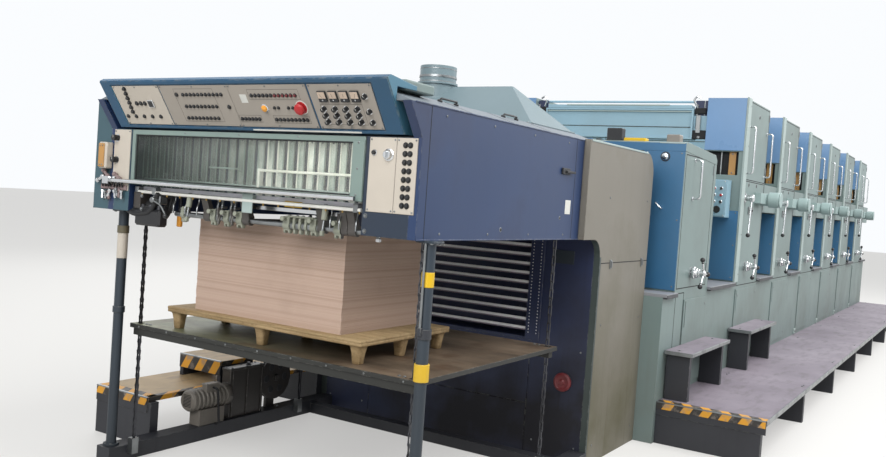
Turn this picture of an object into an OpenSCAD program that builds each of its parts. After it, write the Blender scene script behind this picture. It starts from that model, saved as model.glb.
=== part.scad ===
// Sheet-fed offset printing press with a high-pile delivery, one low unit, six printing towers,
// galleries along both sides and a feeder. Millimetres, +X to the operator side, +Y from the
// delivery towards the feeder, +Z up. The origin lies on the floor, on the centreline, beneath
// the middle of the delivery tower.

/* [Delivery hood] */
// Width over the two hood side panels
hood_w = 2080; // [1900:10:2200]
// Thickness of a hood side panel
hood_side_t = 45; // [30:1:60]
// Extra width of the chain case on the drive side
chain_case_w = 130; // [80:5:180]
// Length of the hood in front of the delivery tower
hood_len = 2045; // [1900:5:2200]
// Height of the hood's lower edge
hood_foot_z = 1450; // [1400:5:1500]
// Height of the hood's upper side edge
hood_edge_z = 2050; // [2020:5:2120]
// Rise of the roof above the side edge
roof_rise = 60; // [40:1:90]
// Width of the sloping strip on each side of the roof
roof_slope_w = 180; // [120:5:240]
// Height of the hipped exhaust cowl
cowl_rise = 257; // [200:1:320]
// Depth of the cowl's foot along the press
cowl_len = 600; // [500:5:680]
// Radius of the round exhaust collar
collar_r = 120; // [90:1:150]

/* [Control desk] */
// Width of the desk
desk_w = 1905; // [1800:5:1940]
// Height of the desk's lower front edge
desk_foot_z = 1910; // [1900:5:1930]
// Least gap between the desk and a hood side panel
desk_gap = 20; // [5:1:40]
// How far the desk's surround stands out round the plates
surround_t = 6; // [5:0.5:10]
// Height of the desk's face along its slope
desk_slope = 280; // [260:1:320]
// Forward lean of the face from upright
desk_lean = 34.8; // [25:0.1:40]
// Thickness of a control plate
plate_t = 4; // [3:0.5:6]

/* [Front guard] */
// Height of the guard's lower edge
guard_foot_z = 1600; // [1590:1:1620]
// Thickness of the guard frame
guard_t = 25; // [20:1:30]
// Width of the guard frame's bars
guard_bar = 26; // [22:1:32]
// Gap round the guard
guard_gap = 6; // [5:0.5:8]
// Radius of the guard's two hinge pins
guard_pin_r = 5; // [4:0.5:7]
// Running clearance round a pin
pin_clear = 0.05; // [0.02:0.01:0.1]

/* [Pile] */
// Height of the pile board's top
board_top_z = 800; // [760:5:820]
// Width of the pile board
board_w = 2000; // [1900:10:2010]
// Depth of the pile board
board_len = 1510; // [1400:10:1540]
// Thickness of the pile board
board_t = 25; // [20:1:35]
// Depth of the two bearers beneath the board
bearer_h = 40; // [30:1:50]
// Width of the pallet
pallet_w = 1380; // [1200:10:1500]
// Depth of the pallet
pallet_len = 820; // [760:10:900]
// Height of the pallet
pallet_h = 125; // [100:1:140]
// Width of the sheets
sheet_w = 1040; // [900:5:1060]
// Length of the sheets
sheet_len = 700; // [640:5:740]
// Height of the paper on the pallet
paper_h = 515; // [300:5:520]

/* [Hoist] */
// Width of a hoist chain
chain_w = 20; // [16:1:24]
// Depth of a hoist chain
chain_d = 16; // [12:1:20]
// Distance of the chains from the centreline
chain_x = 955; // [940:1:960]
// Clearance between a chain and the lug it carries
lug_clear = 0.3; // [0.2:0.05:0.5]
// Clearance between a chain and the slot in the board
board_slot = 12; // [6:1:14]
// Pitch of a hoist chain's links
link_pitch = 50; // [44:1:60]
// Thickness of a link plate
link_plate = 2.8; // [2:0.1:3]
// Radius of a chain pin
link_pin_r = 3.5; // [3:0.1:4]
// Teeth on a hoist sprocket
sprocket_teeth = 8; // [7:1:9]
// Thickness of a sprocket
sprocket_t = 8; // [5:0.5:8]
// Radius of the hoist motor
motor_r = 72; // [60:1:74]
// Radius of the hoist's chain wheel
wheel_r = 150; // [120:1:160]

/* [Delivery tower and covers] */
// Length of the delivery tower along the press
tower0_len = 890; // [800:5:950]
// How far the side cover reaches forward over the hood
cover_reach = 280; // [200:5:320]
// Thickness of a side cover
cover_t = 40; // [30:1:50]
// Radius of the cover's rounded corners
cover_r = 150; // [100:5:180]
// Half width of the slatted opening
grille_half = 680; // [600:5:720]
// Number of slats
slat_count = 10; // [6:1:11]
// Pitch of the slats
slat_pitch = 61; // [50:1:64]
// Height of the lowest slat
slat_foot_z = 810; // [780:5:850]

/* [Printing line] */
// Half width of the printing units
unit_half = 1220; // [1180:5:1260]
// Half width of the recessed core between units
core_half = 900; // [860:5:940]
// Inner face of a tower's side housing
cheek_in = 870; // [840:5:880]
// Distance from the delivery tower to the low unit
low_gap = 265; // [220:5:320]
// Length of the low unit
low_len = 860; // [800:5:900]
// Height of the low unit
low_h = 2130; // [2080:5:2180]
// Distance from the low unit to the first printing tower
first_gap = 840; // [760:5:900]
// Number of printing towers
tower_count = 6; // [6:1:6]
// Pitch of the printing towers
tower_pitch = 1550; // [1500:5:1700]
// Length of a printing tower
tower_len = 930; // [880:5:960]
// Height of a printing tower
tower_h = 2720; // [2650:5:2780]
// Height of the housing between two towers
link_h = 1990; // [1960:5:2040]
// Depth of the bridge housing between two towers
bridge_h = 270; // [220:5:290]
// Height of the small shelf in a recess
shelf_z = 1070; // [1040:5:1100]
// Thickness of a shelf
shelf_t = 22; // [18:1:30]
// How far a shelf stands out
shelf_out = 30; // [20:1:50]
// Foot of the lower panels
panel_foot_z = 340; // [320:5:380]
// Top of the lower panels
panel_top_z = 1000; // [960:5:1040]
// Height of the front niche's foot above the lower housing
niche_lift = 40; // [20:1:60]
// Height of the front niche, above which the upper front panel starts
niche_h = 210; // [150:5:260]
// Distance of the cross beam's top below the tower's top
beam_drop = 100; // [60:5:140]
// Height of the cross beam
beam_rise = 280; // [240:5:300]
// Half length of the cross beam
beam_half = 730; // [690:5:760]
// Thickness of the cross beam's flanges
flange_t = 16; // [10:1:20]
// Height of the ink duct's edge above the lower housings
ink_h = 272; // [250:1:274]
// Radius of the ink duct roller
roller_r = 50; // [40:1:56]
// Distance of the control box's foot below the top of the lower housings
box_drop = 345; // [290:5:390]
// Height of the control box
box_rise = 333; // [300:1:340]
// Depth of the control box
box_d = 150; // [120:1:180]
// Thickness of a cover plate or corner strip
skin_t = 8; // [6:1:12]

/* [Handles and drives] */
// Radius of a door handle's grip
grip_r = 8; // [7:0.5:10]
// Distance from the door to the grip's middle
grip_out = 58; // [50:1:70]
// Radius of a grip's bends
grip_bend = 22; // [16:1:28]
// Radius of a drive drum
drum_r = 75; // [65:1:85]
// How far a drive drum stands out
drum_out = 180; // [150:5:200]
// Height of the drive drums
drum_z = 1845; // [1835:1:1880]
// Height of the star handles
star_z = 1205; // [1195:1:1240]
// Length of a star handle's arms
star_arm = 118; // [100:1:130]

/* [Galleries] */
// Height of the gallery decks
gallery_z = 300; // [280:5:340]
// Width of the operator-side gallery
gallery_w = 760; // [700:5:820]
// Thickness of a tread plate
deck_t = 30; // [25:1:40]
// Height of a footboard's top
footboard_z = 660; // [620:5:700]
// Width of a footboard
footboard_w = 200; // [160:5:240]
// Depth of the fascia at a gallery's front
fascia_h = 95; // [70:5:120]
// Height of the step on the drive-side gallery
step_z = 450; // [420:5:480]
// Depth of the step
step_len = 300; // [250:10:340]
// Length of a footboard
footboard_len = 1050; // [900:10:1150]

/* [Feeder] */
// Length of the feeder
feeder_len = 2400; // [2200:10:2600]
// Height of the feeder's side frames
feeder_h = 1350; // [1250:10:1450]

/* [Hidden] */
TOWERS = [for (i = [1:tower_count]) i];
$fn = 48;

// Places along the press
tower0_y = -tower0_len / 2;
tower0_rear_y = tower0_len / 2;
hood_y = tower0_y - hood_len;
low_y = tower0_rear_y + low_gap;
low_rear_y = low_y + low_len;
first_y = low_rear_y + first_gap;
line_end_y = first_y + tower_count * tower_pitch;
hood_half = max(hood_w, desk_w + 2 * (hood_side_t + desk_gap)) / 2;
cover_out_x = hood_half + cover_t;
function tower_y(i) = first_y + (i - 1) * tower_pitch;

// Fronts of the units that carry a star handle, the low unit first
function unit_front_y(i) = i == 0 ? low_y : tower_y(i);
function star_y(i) = unit_front_y(i) + 370;

// Heights that follow the lower housings and the towers
niche_top_z = link_h + niche_lift + niche_h;
ink_top_z = link_h + ink_h;
box_foot_z = link_h - box_drop;
beam_foot_z = tower_h - beam_drop - beam_rise;

// Recesses between the units, each as [front, rear]
RECESSES = concat(
    [[tower0_rear_y, low_y], [low_rear_y, first_y]],
    [for (i = TOWERS) [tower_y(i) + tower_len, tower_y(i) + tower_pitch]]);

// Desk, guard and mechanism at the front
desk_y = hood_y - 5;
desk_top_y = desk_y - desk_slope * sin(desk_lean);
desk_top_z = desk_foot_z + desk_slope * cos(desk_lean);
cheek_l_x = -870;
cheek_r_x = 740;
cheek_d = 90;
guard_x0 = cheek_l_x + guard_gap;
guard_x1 = cheek_r_x - guard_gap;
guard_top_z = desk_foot_z - guard_gap - 6;
guard_hinge_z = guard_top_z - guard_bar / 2;
guard_hinge_y = hood_y + guard_t / 2;
rail_z = 1572;
rail_h = 20;
shaft_z = 1457;
shaft_r = 14;
shaft_gap = 0.3;
shaft_y = hood_y + cheek_d + shaft_r + shaft_gap;

// Star handles and the spindles that they turn on
star_hub_x0 = 12;
star_hub_x1 = 112;
spindle_len = 70;
spindle_r = 12;

// Pile board, hoist and posts
board_y = hood_y + 165;
board_rear_y = board_y + board_len;
chain_front_y = board_y + 35;
chain_rear_y = board_rear_y - 45;
CHAINS = [for (x = [-chain_x, chain_x], y = [chain_front_y, chain_rear_y]) [x, y]];
chain_top_z = 1640;
chain_links = floor((chain_top_z - 100) / link_pitch);
chain_foot_z = chain_top_z - chain_links * link_pitch;
sprocket_r = link_pitch / (2 * sin(180 / sprocket_teeth));
plate_seat = 0.02;
beam_h = 90;
beam_w = 110;
beam_in = 980;
post_x = 1045;
post_y = hood_y + 115;
post_r = 28;
pile_x = -70;
pallet_y = board_y + 55;
paper_y = pallet_y + 50;

// Gallery decks, laid end to end from the low unit's front, and the one beside the pile
deck_count = 7;
gallery_y = low_y - 220;
function deck_y(i) = gallery_y + (line_end_y - gallery_y) * i / deck_count;
front_deck_out = 1600;
front_deck_in = beam_in + beam_w + 30;
front_deck_y = board_y + 260;
front_step_y = board_y + 850;

// Block from its low corner to its high corner
module slab(x0, x1, y0, y1, z0, z1) {
    translate([x0, y0, z0]) cube([x1 - x0, y1 - y0, z1 - z0]);
}

// Upright block round the hoist chain at place c, with a clearance
module chain_block(c, clear, z0, z1) {
    w = chain_w / 2 + clear;
    d = chain_d / 2 + clear;
    slab(c[0] - w, c[0] + w, c[1] - d, c[1] + d, z0, z1);
}

// Both sides of the press
module both_sides() {
    children();
    mirror([1, 0, 0]) children();
}

// Rod along X from x0 to x1
module rod_x(x0, x1, r) {
    translate([x0, 0, 0]) rotate([0, 90, 0]) cylinder(h = x1 - x0, r = r);
}

// Rod along Y from y0 to y1
module rod_y(y0, y1, r) {
    translate([0, y0, 0]) rotate([-90, 0, 0]) cylinder(h = y1 - y0, r = r);
}

// Outline in the YZ plane made solid from x0 to x1
module side_profile(x0, x1) {
    translate([x0, 0, 0]) rotate([90, 0, 90]) linear_extrude(x1 - x0) children();
}

// Outline in the XZ plane made solid from y0 to y1
module front_profile(y0, y1) {
    translate([0, y1, 0]) rotate([90, 0, 0]) linear_extrude(y1 - y0) children();
}

// Profile of radius and height, turned about a line along X
module turned_x(profile) {
    rotate([0, 90, 0]) rotate_extrude() polygon(profile);
}

// Frame whose XY plane is the desk's face, X across, Y up the slope
module on_desk(x = 0, s = 0) {
    translate([0, desk_y, desk_foot_z]) rotate([90 + desk_lean, 0, 0]) translate([x, s, 0]) children();
}

// Frame whose XY plane is the front cheeks' face
module on_cheek(x, z) {
    translate([x, hood_y, z]) rotate([90, 0, 0]) children();
}

module floor_beams() color("#2b3138") {
    both_sides() slab(beam_in, beam_in + beam_w, post_y - 60, tower0_y, 0, beam_h);
    slab(-beam_in, beam_in, board_rear_y + 120, board_rear_y + 200, 0, 70);
}

module front_posts() color("#2f4660") {
    both_sides() {
        translate([post_x, post_y, beam_h]) {
            cylinder(h = hood_foot_z - beam_h - 10, r = post_r);
            cylinder(h = 12, r = 44);
            translate([0, 0, 860 - beam_h]) cylinder(h = 34, r = post_r + 6);
        }
        slab(hood_half - hood_side_t, post_x + 45, post_y - 45, post_y + 45, hood_foot_z - 10, hood_foot_z);
    }
}

module hood_side_outline() {
    polygon([[hood_y, hood_foot_z], [hood_y, desk_foot_z - 10], [hood_y - 105, hood_edge_z],
             [tower0_y, hood_edge_z], [tower0_y, hood_foot_z]]);
}

module hood_sides() color("#4a5f86") {
    side_profile(hood_half - hood_side_t, hood_half) hood_side_outline();
    side_profile(-hood_half, hood_side_t - hood_half) hood_side_outline();
}

module hood_roof() color("#6f918c") {
    front_profile(hood_y - 90, tower0_y) polygon([
        [-hood_half, hood_edge_z], [hood_half, hood_edge_z],
        [hood_half - roof_slope_w, hood_edge_z + roof_rise],
        [roof_slope_w - hood_half, hood_edge_z + roof_rise]]);
}

module exhaust_cowl() color("#6fa39f") {
    foot_z = hood_edge_z + roof_rise;
    half = hood_half - roof_slope_w;
    rear_y = tower0_y - 50;
    mid_y = rear_y - cowl_len / 2;
    ridge_z = foot_z + cowl_rise;
    difference() {
        union() {
            intersection() {
                front_profile(rear_y - cowl_len, rear_y) polygon([
                    [-half, foot_z], [half, foot_z],
                    [half - cowl_len / 2, ridge_z], [cowl_len / 2 - half, ridge_z]]);
                side_profile(-half, half) polygon([
                    [rear_y - cowl_len, foot_z], [rear_y, foot_z],
                    [mid_y + 12, ridge_z], [mid_y - 12, ridge_z]]);
            }
            translate([0, mid_y, foot_z]) cylinder(h = cowl_rise + 130, r = collar_r);
            translate([0, mid_y, ridge_z + 10]) cylinder(h = 14, r = collar_r + 12);
        }
        translate([0, mid_y, foot_z + 60]) cylinder(h = cowl_rise + 130, r = collar_r - 4);
    }
}

module front_cheeks() color("#3f5f86") {
    slab(cheek_r_x, hood_half - hood_side_t, hood_y, hood_y + cheek_d, hood_foot_z, desk_foot_z - 10);
    slab(hood_side_t - hood_half, cheek_l_x, hood_y, hood_y + cheek_d, hood_foot_z, desk_foot_z - 10);
    slab(-hood_half - chain_case_w, -hood_half, hood_y, tower0_y, hood_foot_z, hood_edge_z);
    for (x = [[cheek_l_x, cheek_l_x + 30], [cheek_r_x - 30, cheek_r_x]])
        translate([0, guard_hinge_y, guard_hinge_z]) rod_x(x[0], x[1], guard_pin_r);
}

module control_desk() color("#2f5f74") {
    side_profile(-desk_w / 2, desk_w / 2) polygon([
        [desk_y, desk_foot_z], [desk_top_y, desk_top_z], [desk_top_y + 22, desk_top_z + 14],
        [hood_y + 60, hood_edge_z + roof_rise + 20], [hood_y + 60, hood_edge_z + roof_rise],
        [hood_y - 90, hood_edge_z + roof_rise], [hood_y - 90, hood_edge_z],
        [hood_y + cheek_d, hood_edge_z], [hood_y + cheek_d, desk_foot_z]]);
    // Raised surround, let into the face
    margin = 3;
    half = desk_w / 2 - margin;
    on_desk() translate([0, 0, -surround_t]) difference() {
        translate([-half, margin, 0]) cube([2 * half, desk_slope - 2 * margin, 2 * surround_t]);
        translate([DESK_PLATES[0][0] - 8, 18, -1])
            cube([DESK_PLATES[3][1] - DESK_PLATES[0][0] + 16, desk_slope - 40, 2 * surround_t + 2]);
    }
}

// Control plates on the desk, each as [left, right], then those under it
DESK_PLATES = [[-870, -512], [-504, -18], [-16, 478], [490, 852]];
CHEEK_PLATES = [[-1010, -875], [762, 910], [912, 1022]];
cheek_plate_z = 1560;
cheek_plate_h = 336;

module control_plates() color("#c9c4b6") {
    for (p = DESK_PLATES) on_desk(p[0], 24) translate([0, 0, plate_seat])
        cube([p[1] - p[0], desk_slope - 54, plate_t - plate_seat]);
    for (p = CHEEK_PLATES) on_cheek(p[0], cheek_plate_z) cube([p[1] - p[0], cheek_plate_h, plate_t]);
}

// Round control standing on a desk plate
module desk_knob(x, s, r, h) {
    on_desk(x, s) translate([0, 0, plate_t]) cylinder(h = h, r = r, $fn = 24);
}

// Round control standing on a cheek plate
module cheek_knob(x, z, r, h) {
    on_cheek(x, z) translate([0, 0, plate_t]) cylinder(h = h, r = r, $fn = 24);
}

module control_knobs() color("#26282c") {
    // Mushroom stop button
    desk_knob(415, 132, 12, 14);
    on_desk(415, 132) translate([0, 0, plate_t + 14]) cylinder(h = 16, r1 = 27, r2 = 20);
    // Lamp and small buttons beside it
    desk_knob(185, 129, 17, 14);
    for (x = [245, 270, 333, 360]) desk_knob(x, 130, 7, 8);
    // Rows of push-buttons
    for (i = [0:10]) desk_knob(-345 + 27 * i, 200, 8, 9);
    for (i = [0:8]) desk_knob(-355 + 27 * i, 134, 8, 9);
    for (i = [0:8]) desk_knob(-375 + 27 * i, 68, 8, 9);
    desk_knob(-392, 200, 9, 9);
    desk_knob(-53, 132, 9, 9);
    for (i = [0:11]) desk_knob(125 + 25 * i, 195, 7, 8);
    for (i = [0:5]) desk_knob(5 + 23 * i, 68, 8, 9);
    for (i = [0:8]) desk_knob(231 + 24 * i, 67, 8, 9);
    // Four meters and three rows of selector knobs
    for (i = [0:3]) {
        on_desk(544 + 62 * i, 166) translate([0, 0, plate_t]) cube([40, 50, 12]);
        for (s = [128, 95, 62]) desk_knob(548 + 64 * i, s, 11, 18);
    }
    for (s = [190, 115, 61]) desk_knob(802, s, 10, 14);
    // Column and rows on the cream plate
    for (i = [0:5]) desk_knob(-775 - 3 * (5 - i), 100 + 27 * i, 10, 12);
    on_desk(-632, 130) translate([0, 0, plate_t]) cube([38, 38, 8]);
    for (i = [0:2]) desk_knob(-728 + 32 * i, 149, 10, 9);
    for (i = [0:4]) desk_knob(-845 + 65 * i, 72, 10, 9);
    // Cheek plates
    for (z = [1849, 1728]) cheek_knob(-985, z, 16, 34);
    cheek_knob(870, 1819, 22, 26);
    cheek_knob(790, 1827, 10, 14);
    for (i = [0:7], x = [958, 984]) cheek_knob(x, 1598 + 38 * i, 12, 12);
}

module jogger_rail() color("#b9bdb6") {
    slab(cheek_l_x, cheek_r_x, hood_y + 62, hood_y + 86, rail_z, rail_z + rail_h);
}

module jogger_shaft() color("#8f9496") {
    translate([0, shaft_y, shaft_z]) {
        rod_x(-600, 775, shaft_r);
        translate([764, 0, -36]) cylinder(h = 36, r = 10);
    }
}

// Stations of the jogger's clamps and of the arms that carry its shaft, each as [middle, width]
CLAMPS = [[-530, 24], [-300, 34], [-204, 34], [-110, 40], [212, 40], [262, 14], [300, 14], [338, 14],
          [385, 36], [535, 40]];
ARMS = [[-345, 44], [-62, 44], [435, 40], [578, 36], [622, 44]];

// Clamp's outline in the YZ plane about the shaft: split top with an ear, and a stop finger below
module clamp_outline() {
    circle(r = 25);
    polygon([[-22, 0], [-22, 34], [-12, 44], [16, 44], [22, 34], [22, 0]]);
    polygon([[-15, -14], [-13, -36], [-8, -41], [4, -41], [9, -36], [12, -14]]);
}

module jogger_clamps() color("#a9b8a4") {
    rise = rail_z - shaft_z;
    translate([0, shaft_y, shaft_z]) difference() {
        union() {
            for (c = CLAMPS) translate([c[0], 0, 0]) {
                side_profile(-c[1] / 2, c[1] / 2) clamp_outline();
                // Clamping screw with its knob
                if (c[1] > 30) translate([0, 0, 32]) {
                    rod_y(-44, -20, 6);
                    rod_y(-54, -40, 12);
                }
            }
            // Arms from the rail to the shaft
            for (c = ARMS) side_profile(c[0] - c[1] / 2, c[0] + c[1] / 2) {
                circle(r = 24);
                polygon([[-43, rise], [-43, rise - 28], [-23, 34], [-23, 0], [20, 0], [20, 20],
                         [-13, rise - 34], [-21, rise]]);
            }
            // Strap over the group of narrow clamps
            slab(CLAMPS[4][0], CLAMPS[8][0], -20, 14, 40, 48);
        }
        rod_x(-600, 700, shaft_r);
        // Saw cuts that let the clamps close on the shaft, and the forks in their fingers
        for (c = CLAMPS) translate([c[0], 0, 0]) {
            slab(-c[1], c[1], 10, 30, -1.5, 1.5);
            if (c[1] > 30) slab(10 - c[1] / 2, c[1] / 2 - 10, -20, 20, -45, -27);
        }
    }
}

// Upright air strips seen through the guard
module air_strips() color("#cfe3dc") {
    strip_pitch = 66;
    strip_w = 40;
    strip_y = hood_y + 70;
    slab(cheek_l_x, cheek_r_x, strip_y, strip_y + 16, guard_top_z - 10, guard_top_z + 6);
    for (i = [0:23])
        slab(cheek_l_x + 24 + strip_pitch * i, cheek_l_x + 24 + strip_pitch * i + strip_w,
             strip_y, strip_y + 4, rail_z + rail_h, guard_top_z - 10);
}

// Outline of a link plate, with pins at y 0 and y link_pitch
module link_outline() {
    w = chain_d / 2;
    tip = 0.5 * w;
    waist = 0.62 * w;
    polygon([[-tip, -w], [tip, -w], [w, 0], [waist, link_pitch / 2], [w, link_pitch], [tip, link_pitch + w],
             [-tip, link_pitch + w], [-w, link_pitch], [-waist, link_pitch / 2], [-w, 0]]);
}

// Roller chain: outer and inner pairs of plates in turn, on pins
module hoist_chain() {
    for (inner = [0, 1]) {
        x1 = chain_w / 2 - inner * link_plate;
        for (x = [-x1, x1 - link_plate]) side_profile(x, x + link_plate)
            for (k = [inner:2:chain_links - 1]) translate([0, -(k + 1) * link_pitch]) link_outline();
    }
    for (k = [0:chain_links]) translate([0, 0, -k * link_pitch]) rod_x(-chain_w / 2, chain_w / 2, link_pin_r);
}

module hoist_chains() color("#3a3d40") {
    for (c = CHAINS) translate([c[0], c[1], chain_top_z]) hoist_chain();
}

// Toothed outline whose first root faces the chain at -x
module sprocket_outline() {
    shape = [[-0.12, -5], [0.12, -5], [0.34, 3], [0.43, 9], [0.57, 9], [0.66, 3]];
    polygon([for (k = [0:sprocket_teeth - 1], p = shape)
        let (a = 180 + 360 / sprocket_teeth * (k + p[0]), r = sprocket_r + p[1]) [r * cos(a), r * sin(a)]]);
}

module hoist_shafts() color("#6f7478") {
    // Each end's shaft and sprocket, turned so that a root meets the chain
    for (end = [[chain_front_y + sprocket_r, 0], [chain_rear_y - sprocket_r, 180]])
        translate([0, end[0], chain_top_z]) {
            rod_x(hood_side_t - hood_half, hood_half - hood_side_t, 18);
            for (x = [-chain_x, chain_x]) {
                translate([x, 0, 0]) rod_x(-14, 14, 30);
                rotate([end[1], 0, 0])
                    side_profile(x - sprocket_t / 2, x + sprocket_t / 2) sprocket_outline();
            }
        }
    // Anchors on the floor beams
    for (y = [chain_front_y, chain_rear_y])
        both_sides() slab(chain_x - 16, beam_in, y - 22, y + 22, 40, chain_foot_z - chain_d / 2);
}

module hoist_motor() color("#8d9190") {
    motor_x = -beam_in - 65;
    motor_y = board_y + 505;
    motor_z = beam_h + 162;
    motor_len = 330;
    // Ribbed motor along the press, on its foot
    translate([motor_x, motor_y, motor_z]) rotate([-90, 0, 0]) rotate_extrude() polygon(concat(
        [[0, 0], [motor_r - 14, 0], [motor_r - 4, 14], [motor_r - 4, 40]],
        [for (k = [0:6], p = [[0, 0], [0, 12], [-8, 12], [-8, 30]]) [motor_r + p[0], 44 + 34 * k + p[1]]],
        [[motor_r, 282], [motor_r, motor_len], [0, motor_len]]));
    slab(-beam_in - beam_w + 10, motor_x + 55, motor_y + 60, motor_y + 270, beam_h, motor_z - motor_r + 12);
    box_z = motor_z + motor_r - 30;
    slab(motor_x + 10, motor_x + 52, motor_y + 110, motor_y + 220, box_z, box_z + 54);
    // Gearbox, and the chain wheel on its stub shaft and bracket
    slab(motor_x - 40, -beam_in - 30, motor_y + motor_len, motor_y + motor_len + 310, beam_h, motor_z + 168);
    translate([0, motor_y + 780, motor_z + 48]) {
        rod_x(-beam_in - 100, -beam_in - 28, 22);
        rod_x(-beam_in - 78, -beam_in - 66, wheel_r);
        rod_x(-beam_in - 56, -beam_in - 44, wheel_r);
        rod_x(-beam_in - 70, -beam_in - 50, wheel_r - 22);
    }
    slab(-beam_in - beam_w + 2, -beam_in - 86, motor_y + 740, motor_y + 820, beam_h, motor_z + 80);
}

module delivery_tower() color("#2a3d5c") {
    grille_z0 = slat_foot_z - 40;
    grille_z1 = slat_foot_z + slat_count * slat_pitch;
    groove = 4;
    seam_x = grille_half - 40;
    difference() {
        slab(-hood_half, hood_half, tower0_y, tower0_rear_y, 0, hood_edge_z);
        slab(-grille_half, grille_half, tower0_y - 1, tower0_y + 200, grille_z0, grille_z1);
        // Seams of the front panels
        both_sides() slab(seam_x, seam_x + groove, tower0_y - 1, tower0_y + groove, -1, grille_z0 + 1);
        slab(-seam_x, seam_x, tower0_y - 1, tower0_y + groove, 330, 330 + groove);
    }
    both_sides() translate([895, tower0_y, 515]) rotate([90, 0, 0]) cylinder(h = 18, r = 58);
}

module slat_grille() color("#b5bcc4") {
    for (i = [0:slat_count - 1]) translate([0, tower0_y, slat_foot_z + slat_pitch * i])
        slab(-grille_half, grille_half, 6, 30, 0, 22);
}

module cover_outline() {
    front = tower0_y - cover_reach;
    inner_r = 110;
    top = hood_edge_z + 10;
    difference() {
        union() {
            polygon([[front, hood_foot_z], [front, top],
                     [tower0_rear_y - cover_r, top], [tower0_rear_y, top - cover_r],
                     [tower0_rear_y, 0], [tower0_y, 0], [tower0_y, hood_foot_z]]);
            translate([tower0_rear_y - cover_r, top - cover_r]) circle(r = cover_r);
            translate([tower0_y - inner_r, hood_foot_z - inner_r]) square(inner_r + 1);
        }
        translate([tower0_y - inner_r, hood_foot_z - inner_r]) circle(r = inner_r);
    }
}

module side_covers() color("#8f9089") {
    side_profile(hood_half, cover_out_x) cover_outline();
    side_profile(-hood_half - chain_case_w - cover_t, -hood_half - chain_case_w) cover_outline();
    slab(-hood_half - chain_case_w, -hood_half, tower0_y, tower0_rear_y, 0, hood_edge_z);
}

module low_unit() color("#7fa3a0") {
    r = RECESSES[0];
    side_profile(-unit_half, unit_half) polygon([
        [low_y, 0], [low_y, low_h - 20], [low_y + 20, low_h],
        [low_rear_y - 60, low_h - 20], [low_rear_y, low_h - 60], [low_rear_y, 0]]);
    slab(-core_half, core_half, r[0], r[1], 0, link_h - 90);
    both_sides() slab(core_half, unit_half, r[0], r[1], 0, shelf_z - shelf_t);
}

// Ink duct and its rollers between the side housings of the tower that starts at y
module ink_unit(y) {
    top = ink_top_z;
    side_profile(-cheek_in, cheek_in) polygon([
        [y + 40, link_h], [y + 40, top - 140], [y + 140, top - 140], [y + 140, top], [y + 164, top],
        [y + 208, top - 60], [y + 208, top - 140], [y + 620, top - 140],
        [y + tower_len - 40, top - 210], [y + tower_len - 40, link_h]]);
    translate([0, y + 268, top - roller_r - 4]) rod_x(-cheek_in, cheek_in, roller_r);
    for (d = [380, 500]) translate([0, y + d, top - roller_r - 20]) rod_x(-cheek_in, cheek_in, roller_r - 8);
}

// Printing tower number i with the lower housing behind it
module tower(i) color("#7d9f9c") {
    y = tower_y(i);
    rear = y + tower_len;
    next = y + tower_pitch;
    difference() {
        union() {
            slab(-unit_half, unit_half, y, rear, 0, link_h);
            both_sides() slab(cheek_in, unit_half, y, rear, link_h, tower_h);
        }
        both_sides() slab(cheek_in + 30, unit_half - 40, y - 1, y + 70, link_h + niche_lift, niche_top_z);
    }
    ink_unit(y);
    slab(-core_half, core_half, rear, next, 0, link_h);
    both_sides() {
        slab(core_half, unit_half, rear, next, link_h - bridge_h, link_h);
        slab(core_half, unit_half, rear, next, 0, shelf_z - shelf_t);
    }
    if (i == 1) {
        r = RECESSES[1];
        slab(-core_half, core_half, r[0], r[1], 0, link_h);
        both_sides() slab(core_half, unit_half, r[0], r[1], 0, shelf_z - shelf_t);
    }
}

module edge_posts() color("#b8c9c6") {
    for (i = TOWERS) both_sides()
        slab(unit_half, unit_half + 14, tower_y(i) - skin_t, tower_y(i) + 122, shelf_z, tower_h + 8);
}

module front_panels() color("#2f6fa8") {
    both_sides() slab(core_half + 8, unit_half - 1, low_y - skin_t, low_y, shelf_z + 12, low_h - 22);
    for (i = TOWERS) both_sides() {
        slab(cheek_in + 2, unit_half - 1, tower_y(i) - skin_t, tower_y(i), niche_top_z + 8, tower_h);
        slab(core_half + 8, unit_half - 1, tower_y(i) - skin_t, tower_y(i),
             shelf_z + 12, link_h - bridge_h - 10);
    }
}

module cross_beams() color("#5f9f9d") {
    top_z = beam_foot_z + beam_rise;
    for (i = TOWERS) translate([0, tower_y(i), 0]) {
        // Web, flanges and end plates, then the arms that carry them and the rod above
        slab(-beam_half, beam_half, 0, 120, beam_foot_z, top_z);
        for (z = [beam_foot_z, top_z - flange_t]) slab(-beam_half, beam_half, -14, 120, z, z + flange_t);
        both_sides() slab(beam_half, beam_half + flange_t, -14, 120, beam_foot_z, top_z);
        both_sides() slab(beam_half, cheek_in, 20, 90, beam_foot_z + 60, top_z - 60);
        translate([0, 60, tower_h - 30]) rod_x(-cheek_in, cheek_in, 11);
        for (z = [-14, 14]) both_sides() translate([cheek_in - 60, 60, tower_h - 100 + z]) rod_x(0, 60, 22);
    }
}

// Middles of the door handles, each as [y, lower end, upper end]
HANDLES = concat([[low_y + 250, 1770, 2060]],
    [for (i = TOWERS, d = [152, 860]) [tower_y(i) + d, 2060, 2480]]);

module door_grips() color("#c8ccd0") {
    for (h = HANDLES) both_sides()
        translate([unit_half + grip_out, h[0], h[1] + grip_bend])
            cylinder(h = h[2] - h[1] - 2 * grip_bend, r = grip_r);
}

// Bend and foot at the lower end of a grip, in the grip's own frame
module grip_foot() {
    translate([-grip_bend, 0, 0]) rotate([-90, 0, 0]) rotate_extrude(angle = 90)
        translate([grip_bend, 0]) circle(r = grip_r);
    translate([0, 0, -grip_bend]) rod_x(-grip_out, -grip_bend, grip_r);
    translate([0, 0, -grip_bend]) rod_x(-grip_out, 6 - grip_out, 16);
}

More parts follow.
